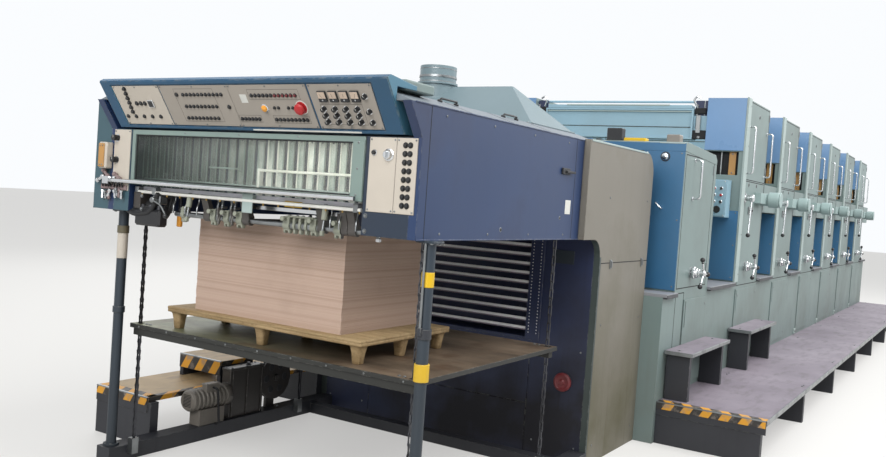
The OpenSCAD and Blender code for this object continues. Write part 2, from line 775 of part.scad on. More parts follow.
module grip_feet() color("#c8ccd0") {
    for (h = HANDLES) both_sides() {
        translate([unit_half + grip_out, h[0], h[1] + grip_bend]) grip_foot();
        translate([unit_half + grip_out, h[0], h[2] - grip_bend]) mirror([0, 0, 1]) grip_foot();
    }
}

module drive_drums() color("#9fb4b2") {
    for (i = TOWERS) {
        y = tower_y(i) + tower_len - 40;
        translate([unit_half, y, drum_z]) turned_x([
            [0, 0], [drum_r - 14, 0], [drum_r - 14, 62], [drum_r, 68], [drum_r, drum_out - 22],
            [drum_r - 5, drum_out - 18], [drum_r - 5, drum_out - 12], [drum_r, drum_out - 8],
            [drum_r, drum_out - 4], [drum_r - 4, drum_out], [0, drum_out]]);
        slab(unit_half, unit_half + 60, y - 330, y - 120, drum_z - 45, drum_z + 55);
    }
}

// Hubs with a hanging lever, and the spindles of the star handles
module throw_levers() color("#cfd3d6") {
    for (i = TOWERS) translate([unit_half, tower_y(i) + 190, drum_z - 10]) {
        turned_x([[0, 0], [40, 0], [40, 8], [27, 12], [27, 48], [34, 52], [34, 76], [26, 84], [0, 84]]);
        translate([64, 0, 0]) rotate([172, 0, 0]) translate([0, 0, 20]) ball_arm(320, 8, 19);
    }
    for (i = concat([0], TOWERS)) translate([unit_half, star_y(i), star_z]) {
        rod_x(0, 8, 42);
        rod_x(8, spindle_len, spindle_r);
    }
}

module shelves() color("#9fb0ad") {
    for (r = RECESSES) both_sides()
        slab(core_half, unit_half + shelf_out, r[0], r[1] - skin_t, shelf_z - shelf_t, shelf_z);
}

// Cover panel from y0 to y1 with an upright finger slot near its front
module lower_panel(y0, y1) {
    difference() {
        slab(unit_half, unit_half + skin_t, y0, y1, panel_foot_z, panel_top_z);
        slab(unit_half - 1, unit_half + skin_t + 1, y0 + 26, y0 + 44, panel_top_z - 215, panel_top_z - 12);
    }
}

module lower_panels() color("#7d9a94") {
    both_sides() lower_panel(low_y + 240, low_rear_y - 12);
    for (i = TOWERS) both_sides() lower_panel(tower_y(i) + 100, tower_y(i) + tower_len - 12);
}

module control_box() color("#6f9c9c") {
    face_y = first_y - skin_t;
    both_sides() {
        slab(990, 1140, face_y - box_d, face_y, box_foot_z, box_foot_z + box_rise);
        slab(998, 1132, face_y - box_d - 5, face_y - box_d, box_foot_z + 8, box_foot_z + box_rise - 8);
    }
}

module gallery_decks() color("#8b8a90") {
    both_sides() for (i = [0:deck_count - 1])
        slab(unit_half, unit_half + gallery_w, deck_y(i) + 1, deck_y(i + 1) - 1,
             gallery_z - deck_t, gallery_z);
    slab(-front_deck_out, -front_deck_in, front_deck_y, tower0_y, gallery_z - deck_t, gallery_z);
    slab(-front_deck_out + 90, -front_deck_in, front_step_y, front_step_y + step_len,
         step_z - deck_t, step_z);
}

module gallery_frame() color("#2c2e33") {
    fascia_t = 6;
    both_sides() {
        for (i = [0:deck_count]) {
            y = deck_y(i) - (i == 0 ? 0 : i == deck_count ? 60 : 30);
            slab(unit_half, unit_half + gallery_w - 30, y, y + 60, 0, gallery_z - deck_t);
        }
        slab(unit_half, unit_half + gallery_w, gallery_y + 1 - fascia_t, gallery_y + 1,
             gallery_z - fascia_h, gallery_z);
    }
    // Drive-side gallery beside the pile, with its step
    for (y = [front_deck_y, tower0_y - 60])
        slab(-front_deck_out, -beam_in - beam_w, y, y + 60, 0, gallery_z - deck_t);
    slab(-front_deck_out, -front_deck_in, front_deck_y - fascia_t, front_deck_y,
         gallery_z - fascia_h, gallery_z);
    slab(-front_deck_out + 90, -front_deck_in, front_step_y - fascia_t, front_step_y,
         step_z - fascia_h, step_z);
    for (x = [-front_deck_out + 90, -front_deck_in - 30])
        slab(x, x + 30, front_step_y, front_step_y + step_len, gallery_z, step_z - deck_t);
}

module footboards() color("#8b8a90") {
    for (y = [low_y - 150, first_y - 60]) translate([unit_half + skin_t, y, 0]) {
        slab(0, footboard_w, 0, footboard_len, footboard_z - 24, footboard_z);
        for (d = [60, footboard_len - 110])
            slab(0, footboard_w - 30, d, d + 50, gallery_z, footboard_z - 24);
    }
}

module feeder() color("#7d9f9c") {
    y0 = line_end_y;
    y1 = line_end_y + feeder_len;
    head_y = y1 - 640;
    wall_in = 820;
    rise_len = 900;
    // Side frames
    both_sides() side_profile(wall_in, core_half) polygon([
        [y0, 0], [y0, feeder_h - 60], [y0 + rise_len, feeder_h], [head_y + 100, feeder_h],
        [head_y + 180, feeder_h - 110], [y1 - 120, feeder_h - 110], [y1, feeder_h - 260], [y1, 0]]);
    // Register table and its housing, with the sloping feed table behind
    slab(-wall_in, wall_in, y0, y0 + 700, 0, 900);
    side_profile(-wall_in, wall_in) polygon([
        [y0, feeder_h - 60], [y0, feeder_h - 110], [head_y - 80, feeder_h - 40], [head_y - 80, feeder_h]]);
    for (d = [180, 980, 1500]) translate([0, y0 + d, feeder_h + 14 - 60 * max(0, 1 - d / rise_len)])
        rod_x(-core_half, core_half, 22);
    // Suction head on its cross beam
    slab(-core_half, core_half, head_y - 60, head_y + 20, feeder_h, feeder_h + 90);
    slab(-260, 260, head_y - 40, head_y + 260, feeder_h - 60, feeder_h + 150);
    for (x = [-150, 150]) translate([x, head_y + 210, feeder_h - 150]) cylinder(h = 100, r = 18);
}

module pile_board() color("#8d8a72") {
    under_z = board_top_z - board_t;
    foot_z = under_z - bearer_h;
    difference() {
        union() {
            slab(-board_w / 2, board_w / 2, board_y, board_rear_y, under_z, board_top_z);
            for (y = [chain_front_y, chain_rear_y])
                slab(-chain_x - 25, chain_x + 25, y - 25, y + 25, foot_z, under_z);
        }
        for (c = CHAINS) {
            chain_block(c, board_slot, under_z, board_top_z + 1);
            chain_block(c, lug_clear, foot_z - 1, under_z);
        }
    }
}

module pallet() color("#c9b583") {
    deck = 20;
    leg_h = pallet_h - deck;
    deck_z = board_top_z + leg_h;
    slab(pile_x - pallet_w / 2, pile_x + pallet_w / 2, pallet_y, pallet_y + pallet_len,
         deck_z, deck_z + deck);
    // Hollow-ground legs, each in two tapers
    for (x = [-pallet_w / 2 + 50, 0, pallet_w / 2 - 50], y = [50, pallet_len / 2, pallet_len - 50])
        translate([pile_x + x, pallet_y + y, deck_z]) mirror([0, 0, 1]) {
            linear_extrude(leg_h * 0.3, scale = 0.62) square([98, 98], center = true);
            linear_extrude(leg_h, scale = 0.78) square([58, 58], center = true);
        }
}

module paper_pile() color("#c3b5a2") {
    foot_z = board_top_z + pallet_h;
    slab(pile_x - sheet_w / 2, pile_x + sheet_w / 2, paper_y, paper_y + sheet_len, foot_z, foot_z + paper_h);
}

// Opening inside the guard frame, from y0 to y1
module guard_hole(y0, y1) {
    slab(guard_x0 + guard_bar, guard_x1 - guard_bar, y0, y1,
         guard_foot_z + guard_bar, guard_top_z - guard_bar);
}

module guard_frame() color("#5b8f8f") {
    difference() {
        slab(guard_x0, guard_x1, hood_y, hood_y + guard_t, guard_foot_z, guard_top_z);
        guard_hole(hood_y - 1, hood_y + guard_t + 1);
        translate([0, guard_hinge_y, guard_hinge_z]) {
            rod_x(guard_x0 - 1, cheek_l_x + 31, guard_pin_r + pin_clear);
            rod_x(cheek_r_x - 31, guard_x1 + 1, guard_pin_r + pin_clear);
        }
    }
}

module guard_pane() color("#bcd8d0", 0.5) {
    guard_hole(hood_y + 10, hood_y + 15);
}

module grip_bar() color("#d5d8da") {
    bar_z = guard_foot_z + guard_bar / 2;
    bar_y = hood_y - 30;
    translate([0, bar_y, bar_z]) rod_x(-1010, guard_x1 - 20, 11);
    for (x = [guard_x0 + 40, guard_x1 - 60])
        slab(x - 8, x + 8, bar_y + 8, hood_y, bar_z - 9, bar_z + 9);
    slab(-1040, -990, bar_y - 20, bar_y + 16, bar_z - 20, bar_z + 20);
}

// Arm with a ball grip, revolved about +Z from the origin
module ball_arm(length, rod_r, ball_r) {
    rotate_extrude() polygon([
        [0, 0], [rod_r, 0], [rod_r, length - 0.8 * ball_r], [0.85 * ball_r, length - 0.5 * ball_r],
        [ball_r, length], [0.85 * ball_r, length + 0.5 * ball_r], [0.45 * ball_r, length + 0.9 * ball_r],
        [0, length + ball_r]]);
}

// Three-armed star handle number i on the operator side, turning on its spindle
module star(i) color("#c4c8cc") {
    translate([unit_half, star_y(i), star_z]) {
        difference() {
            // Ribbed hub with a domed end
            hub = star_hub_x1 - star_hub_x0;
            translate([star_hub_x0, 0, 0]) turned_x([
                [0, 0], [30, 0], [32, 3], [32, 20], [28, 24], [28, 34], [32, 38], [32, 54], [26, 60],
                [26, hub - 8], [18, hub], [0, hub]]);
            rod_x(star_hub_x0 - 1, spindle_len + 1, spindle_r + pin_clear);
        }
        translate([star_hub_x1 - 14, 0, 0])
            for (a = [25, 145, 265]) rotate([a, 0, 0]) translate([0, 0, 20]) ball_arm(star_arm - 20, 8, 18);
    }
}

floor_beams();
front_posts();
hood_sides();
hood_roof();
exhaust_cowl();
front_cheeks();
control_desk();
control_plates();
control_knobs();
jogger_rail();
jogger_shaft();
jogger_clamps();
air_strips();
hoist_chains();
hoist_shafts();
hoist_motor();
delivery_tower();
slat_grille();
side_covers();
low_unit();
for (i = TOWERS) tower(i);
edge_posts();
front_panels();
cross_beams();
door_grips();
grip_feet();
drive_drums();
throw_levers();
shelves();
lower_panels();
control_box();
gallery_decks();
gallery_frame();
footboards();
feeder();
pile_board();
pallet();
paper_pile();
guard_frame();
guard_pane();
grip_bar();
for (i = concat([0], TOWERS)) star(i);
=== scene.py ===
# %% [markdown]
# # A sheet-fed offset printing press
# This lesson dresses a press that was first built as solids. The solids arrive as a frame of
# named nodes on named bodies, and nothing here moves or resizes them. Each finish is made of
# shader nodes, and each added piece is a mesh made in code.

# %% Load the frame
import math
import random

import bmesh
import bpy
from mathutils import Matrix, Vector


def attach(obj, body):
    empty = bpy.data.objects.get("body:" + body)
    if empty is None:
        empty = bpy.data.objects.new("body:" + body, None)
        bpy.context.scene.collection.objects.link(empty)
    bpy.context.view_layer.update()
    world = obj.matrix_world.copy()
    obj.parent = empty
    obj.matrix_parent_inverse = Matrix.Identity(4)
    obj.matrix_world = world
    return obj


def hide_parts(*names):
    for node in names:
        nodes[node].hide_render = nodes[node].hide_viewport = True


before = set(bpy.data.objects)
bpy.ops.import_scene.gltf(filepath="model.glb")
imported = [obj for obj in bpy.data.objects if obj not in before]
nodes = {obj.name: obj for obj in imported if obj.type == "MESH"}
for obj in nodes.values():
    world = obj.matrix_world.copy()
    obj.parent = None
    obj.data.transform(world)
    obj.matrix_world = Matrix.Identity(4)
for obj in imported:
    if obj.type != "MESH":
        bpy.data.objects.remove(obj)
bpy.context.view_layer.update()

# %% [markdown]
# ## Places shared with the solids
# A machine is easier to dress when the same few sizes place every piece. These are the ones
# that the solids use, in metres: +X is the operator side and +Y runs from delivery to feeder.

# %% Shared sizes
HOOD_HALF = 1.04
HOOD_Y = -2.49
TOWER0_Y = -0.445
HOOD_FOOT = 1.45
HOOD_EDGE = 2.05
DESK_FOOT = (0, HOOD_Y - 0.005, 1.91)
DESK_LEAN = math.radians(34.8)
UNIT_HALF = 1.22
LOW_Y = 0.71
LOW_REAR = LOW_Y + 0.86
FIRST_Y = 2.41
PITCH = 1.55
TOWER_LEN = 0.93
TOWER_H = 2.72
STAR_Z = 1.205
DRUM_Z = 1.845
TOWER_STARTS = [FIRST_Y + PITCH * i for i in range(6)]
UNIT_STARTS = [LOW_Y] + TOWER_STARTS
SIDES = (-1, 1)
print("towers start at", [round(y, 2) for y in TOWER_STARTS])

# %% [markdown]
# ## Mesh helpers
# Sheet metal, turned knobs and bent rods make up most of a machine, so a few helpers are enough:
# a block with chamfered edges, a turned profile, a round tube along a path and an outline made
# thick. They add to one bmesh, so that many small things become a single joined piece.

# %% Frames to place things in
def spot(x, y, z):
    """The frame at a place, turned like the world."""
    return Matrix.Translation((x, y, z))


def facing_front(x, y, z):
    """The frame at a place whose Z axis looks out of the press's front."""
    return spot(x, y, z) @ Matrix.Rotation(math.pi / 2, 4, "X")


def facing_side(side, x, y, z):
    """The frame at a place whose Z axis looks out of one of the press's sides."""
    return spot(x, y, z) @ Matrix.Rotation(side * math.pi / 2, 4, "Y")


def aim(start, end, axis="Z"):
    """The frame at start whose axis points to end."""
    along = Vector(end) - Vector(start)
    return spot(*start) @ along.to_track_quat(axis, "Y").to_matrix().to_4x4()


def circle(count, radius=1.0, start=0.0):
    """The (x, y) places of count points round a circle, from the angle start."""
    turns = [start + 2 * math.pi * k / count for k in range(count)]
    return [(radius * math.cos(a), radius * math.sin(a)) for a in turns]


# %% A block with chamfered edges
def add_box(bm, low, high, edge=0.002, mat=0, at=Matrix()):
    """Adds a block from low to high, moved by at, with its twelve edges cut by edge."""
    middle = (Vector(low) + Vector(high)) / 2
    half = (Vector(high) - Vector(low)) / 2
    edge = min(edge, 0.45 * min(half))
    signs = [(x, y, z) for x in SIDES for y in SIDES for z in SIDES]
    corner = {}
    for s in signs:
        for axis in range(3):
            cut = Vector([s[k] * (half[k] - (0 if k == axis else edge)) for k in range(3)])
            corner[s, axis] = bm.verts.new(at @ (middle + cut))
    faces = [[(s, 0), (s, 1), (s, 2)] for s in signs]
    for axis in range(3):
        b, c = [k for k in range(3) if k != axis]
        for side in SIDES:
            # The face on this side goes round its four corners, not across
            near, far, upper, over = [s for s in signs if s[axis] == side]
            faces.append([(s, axis) for s in (near, far, over, upper)])
        for s in signs:
            # A narrow strip cuts each edge that runs along this axis
            if s[axis] < 0:
                other = tuple(-s[k] if k == axis else s[k] for k in range(3))
                faces.append([(s, b), (other, b), (other, c), (s, c)])
    for keys in faces:
        bm.faces.new([corner[key] for key in keys]).material_index = mat


def span(side, near, far):
    """The limits on x of what lies from near to far on one side, the lower one first."""
    return sorted((side * near, side * far))


def add_mirrored(bm, side, low, high, edge=0.002, mat=0):
    """Adds a block whose place is given for the operator side, on the side asked for."""
    x0, x1 = span(side, low[0], high[0])
    add_box(bm, (x0, *low[1:]), (x1, *high[1:]), edge, mat)


# %% Turned profiles and rods
def add_skin(bm, rings, mat=0, capped=False, closed=False):
    """Joins each ring of vertices to the next with faces. A ring of one vertex is a tip."""
    sides = max(len(ring) for ring in rings)
    for lower, upper in zip(rings, rings[1:] + (rings[:1] if closed else [])):
        for k in range(sides):
            around = ((lower, k), (lower, k + 1), (upper, k + 1), (upper, k))
            corners = list(dict.fromkeys(ring[j % len(ring)] for ring, j in around))
            if len(corners) > 2:
                bm.faces.new(corners).material_index = mat
    if capped:
        for ring in (rings[0][::-1], rings[-1]):
            bm.faces.new(ring).material_index = mat


def add_turned(bm, profile, at=Matrix(), sides=24, mat=0):
    """Adds the profile, a list of (radius, height), turned about the Z axis of at."""
    rings = [[bm.verts.new(at @ Vector((x, y, height))) for x, y in circle(sides if radius else 1, radius)]
             for radius, height in profile]
    add_skin(bm, rings, mat)


def add_rod(bm, start, end, radius, edge=0.001, sides=20, mat=0):
    """Adds a round rod from start to end with chamfered ends."""
    length = (Vector(end) - Vector(start)).length
    edge = min(edge, 0.4 * radius, 0.4 * length)
    add_turned(bm, [(0, 0), (radius - edge, 0), (radius, edge), (radius, length - edge),
                    (radius - edge, length), (0, length)], aim(start, end), sides, mat)


# %% A round tube along a path
def add_tube(bm, path, radius, sides=10, mat=0, closed=False):
    """Adds a tube of that radius along the points of path."""
    path = [Vector(p) for p in path]
    count = len(path)
    rings = []
    side = None
    for k, point in enumerate(path):
        before = path[k - 1] if closed or k else point
        after = path[(k + 1) % count] if closed or k < count - 1 else point
        along = (after - before).normalized()
        if side is None:
            side = along.orthogonal().normalized()
        side = (side - along * side.dot(along)).normalized()
        up = along.cross(side)
        rings.append([bm.verts.new(point + x * side + y * up) for x, y in circle(sides, radius)])
    add_skin(bm, rings, mat, not closed, closed)


def rounded_path(corners, radius, steps=5):
    """The points of a path whose inner corners are rounded by radius."""
    corners = [Vector(c) for c in corners]
    path = [corners[0]]
    for before, corner, after in zip(corners, corners[1:], corners[2:]):
        a = corner + (before - corner).normalized() * radius
        b = corner + (after - corner).normalized() * radius
        for k in range(steps + 1):
            t = k / steps
            path.append((1 - t) ** 2 * a + 2 * t * (1 - t) * corner + t ** 2 * b)
    return path + [corners[-1]]


# %% An outline made thick, and the finished piece
def add_plate(bm, outline, thickness, at=Matrix()):
    """Adds a flat plate: outline holds (x, y) points, counter-clockwise, made thick along Z."""
    rings = [[bm.verts.new(at @ Vector((x, y, z))) for x, y in outline] for z in (0, thickness)]
    add_skin(bm, rings, 0, True)


def piece(name, bm, materials, body="press_frame", crease=35, zero_y=0):
    """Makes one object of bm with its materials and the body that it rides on.

    The y of its blocks and rods is measured from zero_y.
    """
    bmesh.ops.translate(bm, verts=bm.verts, vec=(0, zero_y, 0))
    bmesh.ops.recalc_face_normals(bm, faces=bm.faces)
    mesh = bpy.data.meshes.new(name)
    bm.to_mesh(mesh)
    bm.free()
    made = bpy.data.objects.new(name, mesh)
    bpy.context.scene.collection.objects.link(made)
    for material in materials:
        mesh.materials.append(material)
    mesh.shade_smooth()
    mesh.set_sharp_from_angle(angle=math.radians(crease))
    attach(made, body)
    print(f"{name}: {len(mesh.polygons)} faces")
    return made


# %% [markdown]
# ## Camera
# The picture is taken from the delivery's operator corner at eye height, a little downwards,
# with the whole view rolled four degrees, so verticals lean.

# %% Camera
EYE = (3.17, -5.685, 1.65)
VIEW_AZIMUTH = math.radians(31.95)
VIEW_PITCH = math.radians(-2.05)
VIEW_ROLL = math.radians(4.06)
FOCAL_PX = 881.7
IMAGE_W = 886
SENSOR_MM = 36

camera_data = bpy.data.cameras.new("camera")
camera_data.sensor_width = SENSOR_MM
camera_data.lens = SENSOR_MM * FOCAL_PX / IMAGE_W
camera_data.clip_end = 200
camera = bpy.data.objects.new("camera", camera_data)
turn = Matrix.Rotation(VIEW_AZIMUTH, 4, "Z") @ Matrix.Rotation(math.pi / 2 + VIEW_PITCH, 4, "X")
camera.matrix_world = spot(*EYE) @ turn @ Matrix.Rotation(VIEW_ROLL, 4, "Z")
bpy.context.scene.collection.objects.link(camera)
bpy.context.scene.camera = camera
print("lens", round(camera_data.lens, 2), "mm")

# %% [markdown]
# ## Colours and shader helpers
# Paint colours are easiest to think of as the hex values of a swatch, so one helper turns a
# swatch into the linear values that shaders want.

# %% Colour and node helpers
def swatch(code):
    """The linear colour of a swatch such as #8899aa."""
    parts = [int(code[k:k + 2], 16) / 255 for k in (1, 3, 5)]
    return tuple(p / 12.92 if p <= 0.04045 else ((p + 0.055) / 1.055) ** 2.4 for p in parts) + (1,)


def new_group(name, inputs, outputs):
    """A shader group with named sockets: (name, kind, default) in, (name, kind) out."""
    tree = bpy.data.node_groups.new(name, "ShaderNodeTree")
    for label, kind, default in inputs:
        socket = tree.interface.new_socket(label, in_out="INPUT", socket_type=kind)
        socket.default_value = default
    for label, kind in outputs:
        tree.interface.new_socket(label, in_out="OUTPUT", socket_type=kind)
    return tree, tree.nodes.new("NodeGroupInput"), tree.nodes.new("NodeGroupOutput")


def add_node(tree, kind, settings=(), **inputs):
    """Adds a node, sets its properties, and sets or links its inputs by name or number."""
    made = tree.nodes.new("ShaderNode" + kind)
    for key, value in dict(settings).items():
        setattr(made, key, value)
    for key, value in inputs.items():
        key = int(key[1:]) if key[0] == "i" and key[1:].isdigit() else key.replace("_", " ")
        if isinstance(value, bpy.types.NodeSocket):
            tree.links.new(value, made.inputs[key])
        else:
            made.inputs[key].default_value = value
    return made


def maths(tree, operation, a, b=0.5, clamp=False):
    """The result of one Math node."""
    return add_node(tree, "Math", {"operation": operation, "use_clamp": clamp}, i0=a, i1=b).outputs[0]


def blend_colour(tree, factor, first, second):
    """The result of one colour Mix node."""
    return add_node(tree, "Mix", {"data_type": "RGBA"}, i0=factor, i6=first, i7=second).outputs[2]


def noise(tree, place, scale, detail=4, stretch=(1, 1, 1), roughness=0.55):
    """Noise over the object's own coordinates, stretched along an axis where asked."""
    mapped = add_node(tree, "Mapping", Vector=place, Scale=stretch).outputs[0]
    return add_node(tree, "TexNoise", Vector=mapped, Scale=scale, Detail=detail,
                    Roughness=roughness).outputs["Fac"]


def ramp(tree, value, low, high):
    """Value mapped so that low gives 0 and high gives 1, held between them."""
    return add_node(tree, "MapRange", {"clamp": True}, Value=value, From_Min=low, From_Max=high).outputs[0]


# %% [markdown]
# ## Light
# A hall with a bright ceiling gives soft light from above. Four wide area lamps, the strongest
# over the operator side, make the soft shadows, and a dimmer world fills the rest. Only the
# camera, gloss and glass see that world as full white, so the white hardly lights the paint.

# %% World and lamps
def backdrop_strength(tree, plain, seen):
    """Puts out plain for light, and seen where the camera, gloss or glass looks at it."""
    path = add_node(tree, "LightPath").outputs
    mask = maths(tree, "MAXIMUM", path["Is Camera Ray"], path["Is Glossy Ray"])
    mask = maths(tree, "MAXIMUM", mask, path["Is Transmission Ray"])
    return add_node(tree, "MapRange", Value=mask, To_Min=plain, To_Max=seen).outputs["Result"]


world = bpy.data.worlds.new("hall_light")
world.use_nodes = True
background = world.node_tree.nodes["Background"]
background.inputs["Color"].default_value = (0.96, 0.98, 1.0, 1)
WORLD_LIGHT = 0.46
strength = backdrop_strength(world.node_tree, WORLD_LIGHT, 1.0)
world.node_tree.links.new(strength, background.inputs["Strength"])
bpy.context.scene.world = world


def add_lamp(name, place, target, size, power):
    """Adds a soft square lamp at place that shines on target."""
    data = bpy.data.lights.new(name, "AREA")
    data.shape = "SQUARE"
    data.size = size
    data.energy = power
    lamp = bpy.data.objects.new(name, data)
    lamp.matrix_world = aim(place, target, "-Z")
    bpy.context.scene.collection.objects.link(lamp)


add_lamp("ceiling_operator_side", (7, 1, 9), (0, 1, 0.5), 8, 1050)
add_lamp("ceiling_delivery", (1.5, -9.5, 6), (0, -2, 1.3), 6, 710)
add_lamp("ceiling_feeder", (5, 13, 8), (0, 10, 1), 7, 650)
add_lamp("ceiling_drive_side", (-9, 5, 7), (-1, 5, 1), 8, 260)

scene_view = bpy.context.scene.view_settings
scene_view.view_transform = "Standard"
print("four soft lamps and a white backdrop")

# %% [markdown]
# ## Worn machine paint
# Decades in a pressroom leave three marks on paint: a soft mottle, dark runs that start under
# seams and gather towards the foot, and bright chips along the edges. The edges come from the
# Bevel node, whose normal turns away from the face's own normal near a corner, and the same
# normal rounds the highlight there.

# %% The worn paint group
def build_worn_paint():
    """Paint colour, roughness, metal mask and normal from mottle, runs, grime and chips."""
    tree, given, result = new_group("worn_paint", [
        ("Paint", "NodeSocketColor", (0.5, 0.5, 0.5, 1)),
        ("Grime", "NodeSocketColor", (0.05, 0.045, 0.04, 1)),
        ("Bare", "NodeSocketColor", (0.4, 0.4, 0.38, 1)),
        ("Grime Amount", "NodeSocketFloat", 0.3),
        ("Chips", "NodeSocketFloat", 0.3),
        ("Gloss", "NodeSocketFloat", 0.4)],
        [("Color", "NodeSocketColor"), ("Roughness", "NodeSocketFloat"),
         ("Metallic", "NodeSocketFloat"), ("Normal", "NodeSocketVector")])
    place = add_node(tree, "TexCoord").outputs["Object"]
    soft = add_node(tree, "Bevel", {"samples": 4}, Radius=0.006).outputs[0]
    flat = add_node(tree, "NewGeometry").outputs["Normal"]
    turned = add_node(tree, "VectorMath", {"operation": "DOT_PRODUCT"}, i0=soft, i1=flat).outputs["Value"]
    edge = ramp(tree, turned, 0.995, 0.90)

    mottle = noise(tree, place, 1.7, 5)
    runs = noise(tree, place, 3.0, 5, (6, 6, 0.35), 0.6)
    patches = noise(tree, place, 0.9, 6, roughness=0.62)
    specks = noise(tree, place, 90, 2)
    height = add_node(tree, "SeparateXYZ", Vector=place).outputs["Z"]
    low_down = ramp(tree, height, 1.6, 0.0)
    foot = maths(tree, "MULTIPLY", ramp(tree, height, 1.25, 0.15), ramp(tree, mottle, 0.20, 0.65))

    value = add_node(tree, "MapRange", Value=mottle, To_Min=0.86, To_Max=1.14).outputs[0]
    saturation = add_node(tree, "MapRange", Value=patches, To_Min=1.12, To_Max=0.86).outputs[0]
    shade = add_node(tree, "HueSaturation", Color=given.outputs["Paint"], Value=value, Saturation=saturation)
    dirt = maths(tree, "MULTIPLY", ramp(tree, runs, 0.55, 0.85), maths(tree, "ADD", low_down, 0.25))
    dirt = maths(tree, "MULTIPLY", dirt, 0.45)
    dirt = maths(tree, "ADD", dirt, maths(tree, "MULTIPLY", ramp(tree, patches, 0.45, 0.72), 0.75))
    dirt = maths(tree, "ADD", dirt, foot)
    dirt = maths(tree, "MULTIPLY", dirt, given.outputs["Grime Amount"], clamp=True)
    soiled = blend_colour(tree, dirt, shade.outputs[0], given.outputs["Grime"])
    chip = maths(tree, "MULTIPLY", ramp(tree, noise(tree, place, 26, 3), 0.50, 0.58), edge)
    chip = maths(tree, "MULTIPLY", chip, given.outputs["Chips"], clamp=True)
    tree.links.new(blend_colour(tree, chip, soiled, given.outputs["Bare"]), result.inputs["Color"])

    rough = maths(tree, "ADD", given.outputs["Gloss"], maths(tree, "MULTIPLY", dirt, 0.35))
    rough = maths(tree, "ADD", rough, maths(tree, "MULTIPLY", mottle, 0.12), clamp=True)
    tree.links.new(rough, result.inputs["Roughness"])
    tree.links.new(maths(tree, "MULTIPLY", chip, 0.8), result.inputs["Metallic"])
    dimple = maths(tree, "ADD", maths(tree, "MULTIPLY", mottle, 1.2), maths(tree, "MULTIPLY", specks, 0.10))
    bump = add_node(tree, "Bump", Strength=0.25, Distance=0.002, Height=dimple, Normal=soft)
    tree.links.new(bump.outputs[0], result.inputs["Normal"])
    return tree


WORN_PAINT = build_worn_paint()
print("group", WORN_PAINT.name)


# %% Painted finishes
def new_material(name, colour):
    """A new material of that viewport colour, together with its node tree and its shader."""
    made = bpy.data.materials.new(name)
    made.use_nodes = True
    made.diffuse_color = swatch(colour)
    return made, made.node_tree, made.node_tree.nodes["Principled BSDF"]


def painted(name, paint, grime, dirt=0.3, chips=0.35, gloss=0.36):
    """A material of worn machine paint."""
    made, tree, shader = new_material(name, paint)
    worn = add_node(tree, "Group", {"node_tree": WORN_PAINT}, Paint=swatch(paint), Grime=swatch(grime),
                    Bare=swatch("#a3a39c"), Grime_Amount=dirt, Chips=chips, Gloss=gloss)
    for label in ("Roughness", "Metallic", "Normal"):
        tree.links.new(worn.outputs[label], shader.inputs[label])
    tree.links.new(worn.outputs["Color"], shader.inputs["Base Color"])
    return made


SLATE = painted("slate_blue_paint", "#22375c", "#292431", dirt=0.7)
NAVY = painted("navy_paint", "#253052", "#14131a", dirt=0.8)
DESK_BLUE = painted("desk_blue_paint", "#215070", "#26353c", dirt=0.35)
# A lighter copy of the desk's blue: painted light on the desk's end, which faces the strongest lamp
DESK_END_PAINTED_LIGHT = painted("desk_end_painted_light", "#447890", "#3a5660", dirt=0.3)
POST_BLUE = painted("post_paint", "#28333d", "#1e1d1b", dirt=0.4)
GREEN_GREY = painted("green_grey_paint", "#768886", "#62625a", dirt=0.45)
ROOF_GREEN = painted("roof_paint", "#727a82", "#60665c", dirt=0.4)
COWL_TEAL = painted("cowl_paint", "#73858b", "#596c65", dirt=0.3)
WARM_GREY = painted("cover_paint", "#7a756b", "#55523d", dirt=0.65)
BRIGHT_BLUE = painted("bright_blue_paint", "#407197", "#2f4b66", dirt=0.35, gloss=0.26)
PALE_TRIM = painted("pale_trim_paint", "#a5b5b2", "#8b968f", dirt=0.3)
BEAM_TEAL = painted("beam_paint", "#94b6c6", "#6a7d81", dirt=0.3)
CREAM = painted("cream_plate", "#c6bdb0", "#8e877a", dirt=0.3, chips=0.15)
GREY_PLATE = painted("grey_plate", "#a39b91", "#77736c", dirt=0.25, chips=0.15)
FRAME_DARK = painted("frame_dark_paint", "#2b2d33", "#17161a", dirt=0.4)
DRUM_GREY = painted("drum_paint", "#9db2b0", "#5c5f5a", dirt=0.4)
CLAMP_GREEN = painted("clamp_paint", "#979b8c", "#55503f", dirt=0.6)
SLAT_GREY = painted("slat_paint", "#e4e2ec", "#8d8894", dirt=0.25)
YELLOW = painted("band_yellow", "#dcb31c", "#7d6420", dirt=0.35, gloss=0.4)
SLAT_DARK = painted("slat_dark_paint", "#8a7f8e", "#453f48", dirt=0.4)
HIGH_BLUE = painted("high_blue_paint", "#7096c0", "#587ba0", dirt=0.25, gloss=0.22)
SHELF_GREY = painted("shelf_paint", "#8d8f94", "#5a5752", dirt=0.45)
ARM_DARK = painted("arm_paint", "#4a4643", "#24211f", dirt=0.4)
STRIP_GREEN = painted("dark_green_paint", "#3f4a48", "#2b2f2a", dirt=0.4)
OLIVE = painted("olive_tape", "#5f5844", "#3a3527", dirt=0.4)
TAN = painted("tan_plate", "#b98a4e", "#6b5233", dirt=0.35, chips=0.15)
MOTOR_GREY = painted("motor_paint", "#868078", "#453f38", dirt=0.5)
OILY = painted("oily_paint", "#3b3734", "#1a1816", dirt=0.6, gloss=0.22)
GUARD_GREY = painted("guard_paint", "#7f918b", "#5a6660", dirt=0.35)
CHEEK_TEAL = painted("cheek_paint", "#3a5761", "#2b3b41", dirt=0.4)
CHEEK_DARK = painted("cheek_dark_paint", "#1f2c3d", "#191b22", dirt=0.4)
# Near-black for the board's edge strips, and painted shade on the board's underside and sides
BOARD_EDGE_AND_SHADE = painted("board_edge_and_painted_shade", "#1f201c", "#151411", dirt=0.5)
print(len(bpy.data.materials), "painted finishes")


# %% [markdown]
# ## Bare metal, plastic, paper and wood
# Chrome grips and ground shafts need fine scratches that vary the roughness; paper needs thin
# layers, made as bands across the height; and moulded wood needs short coarse fibres.

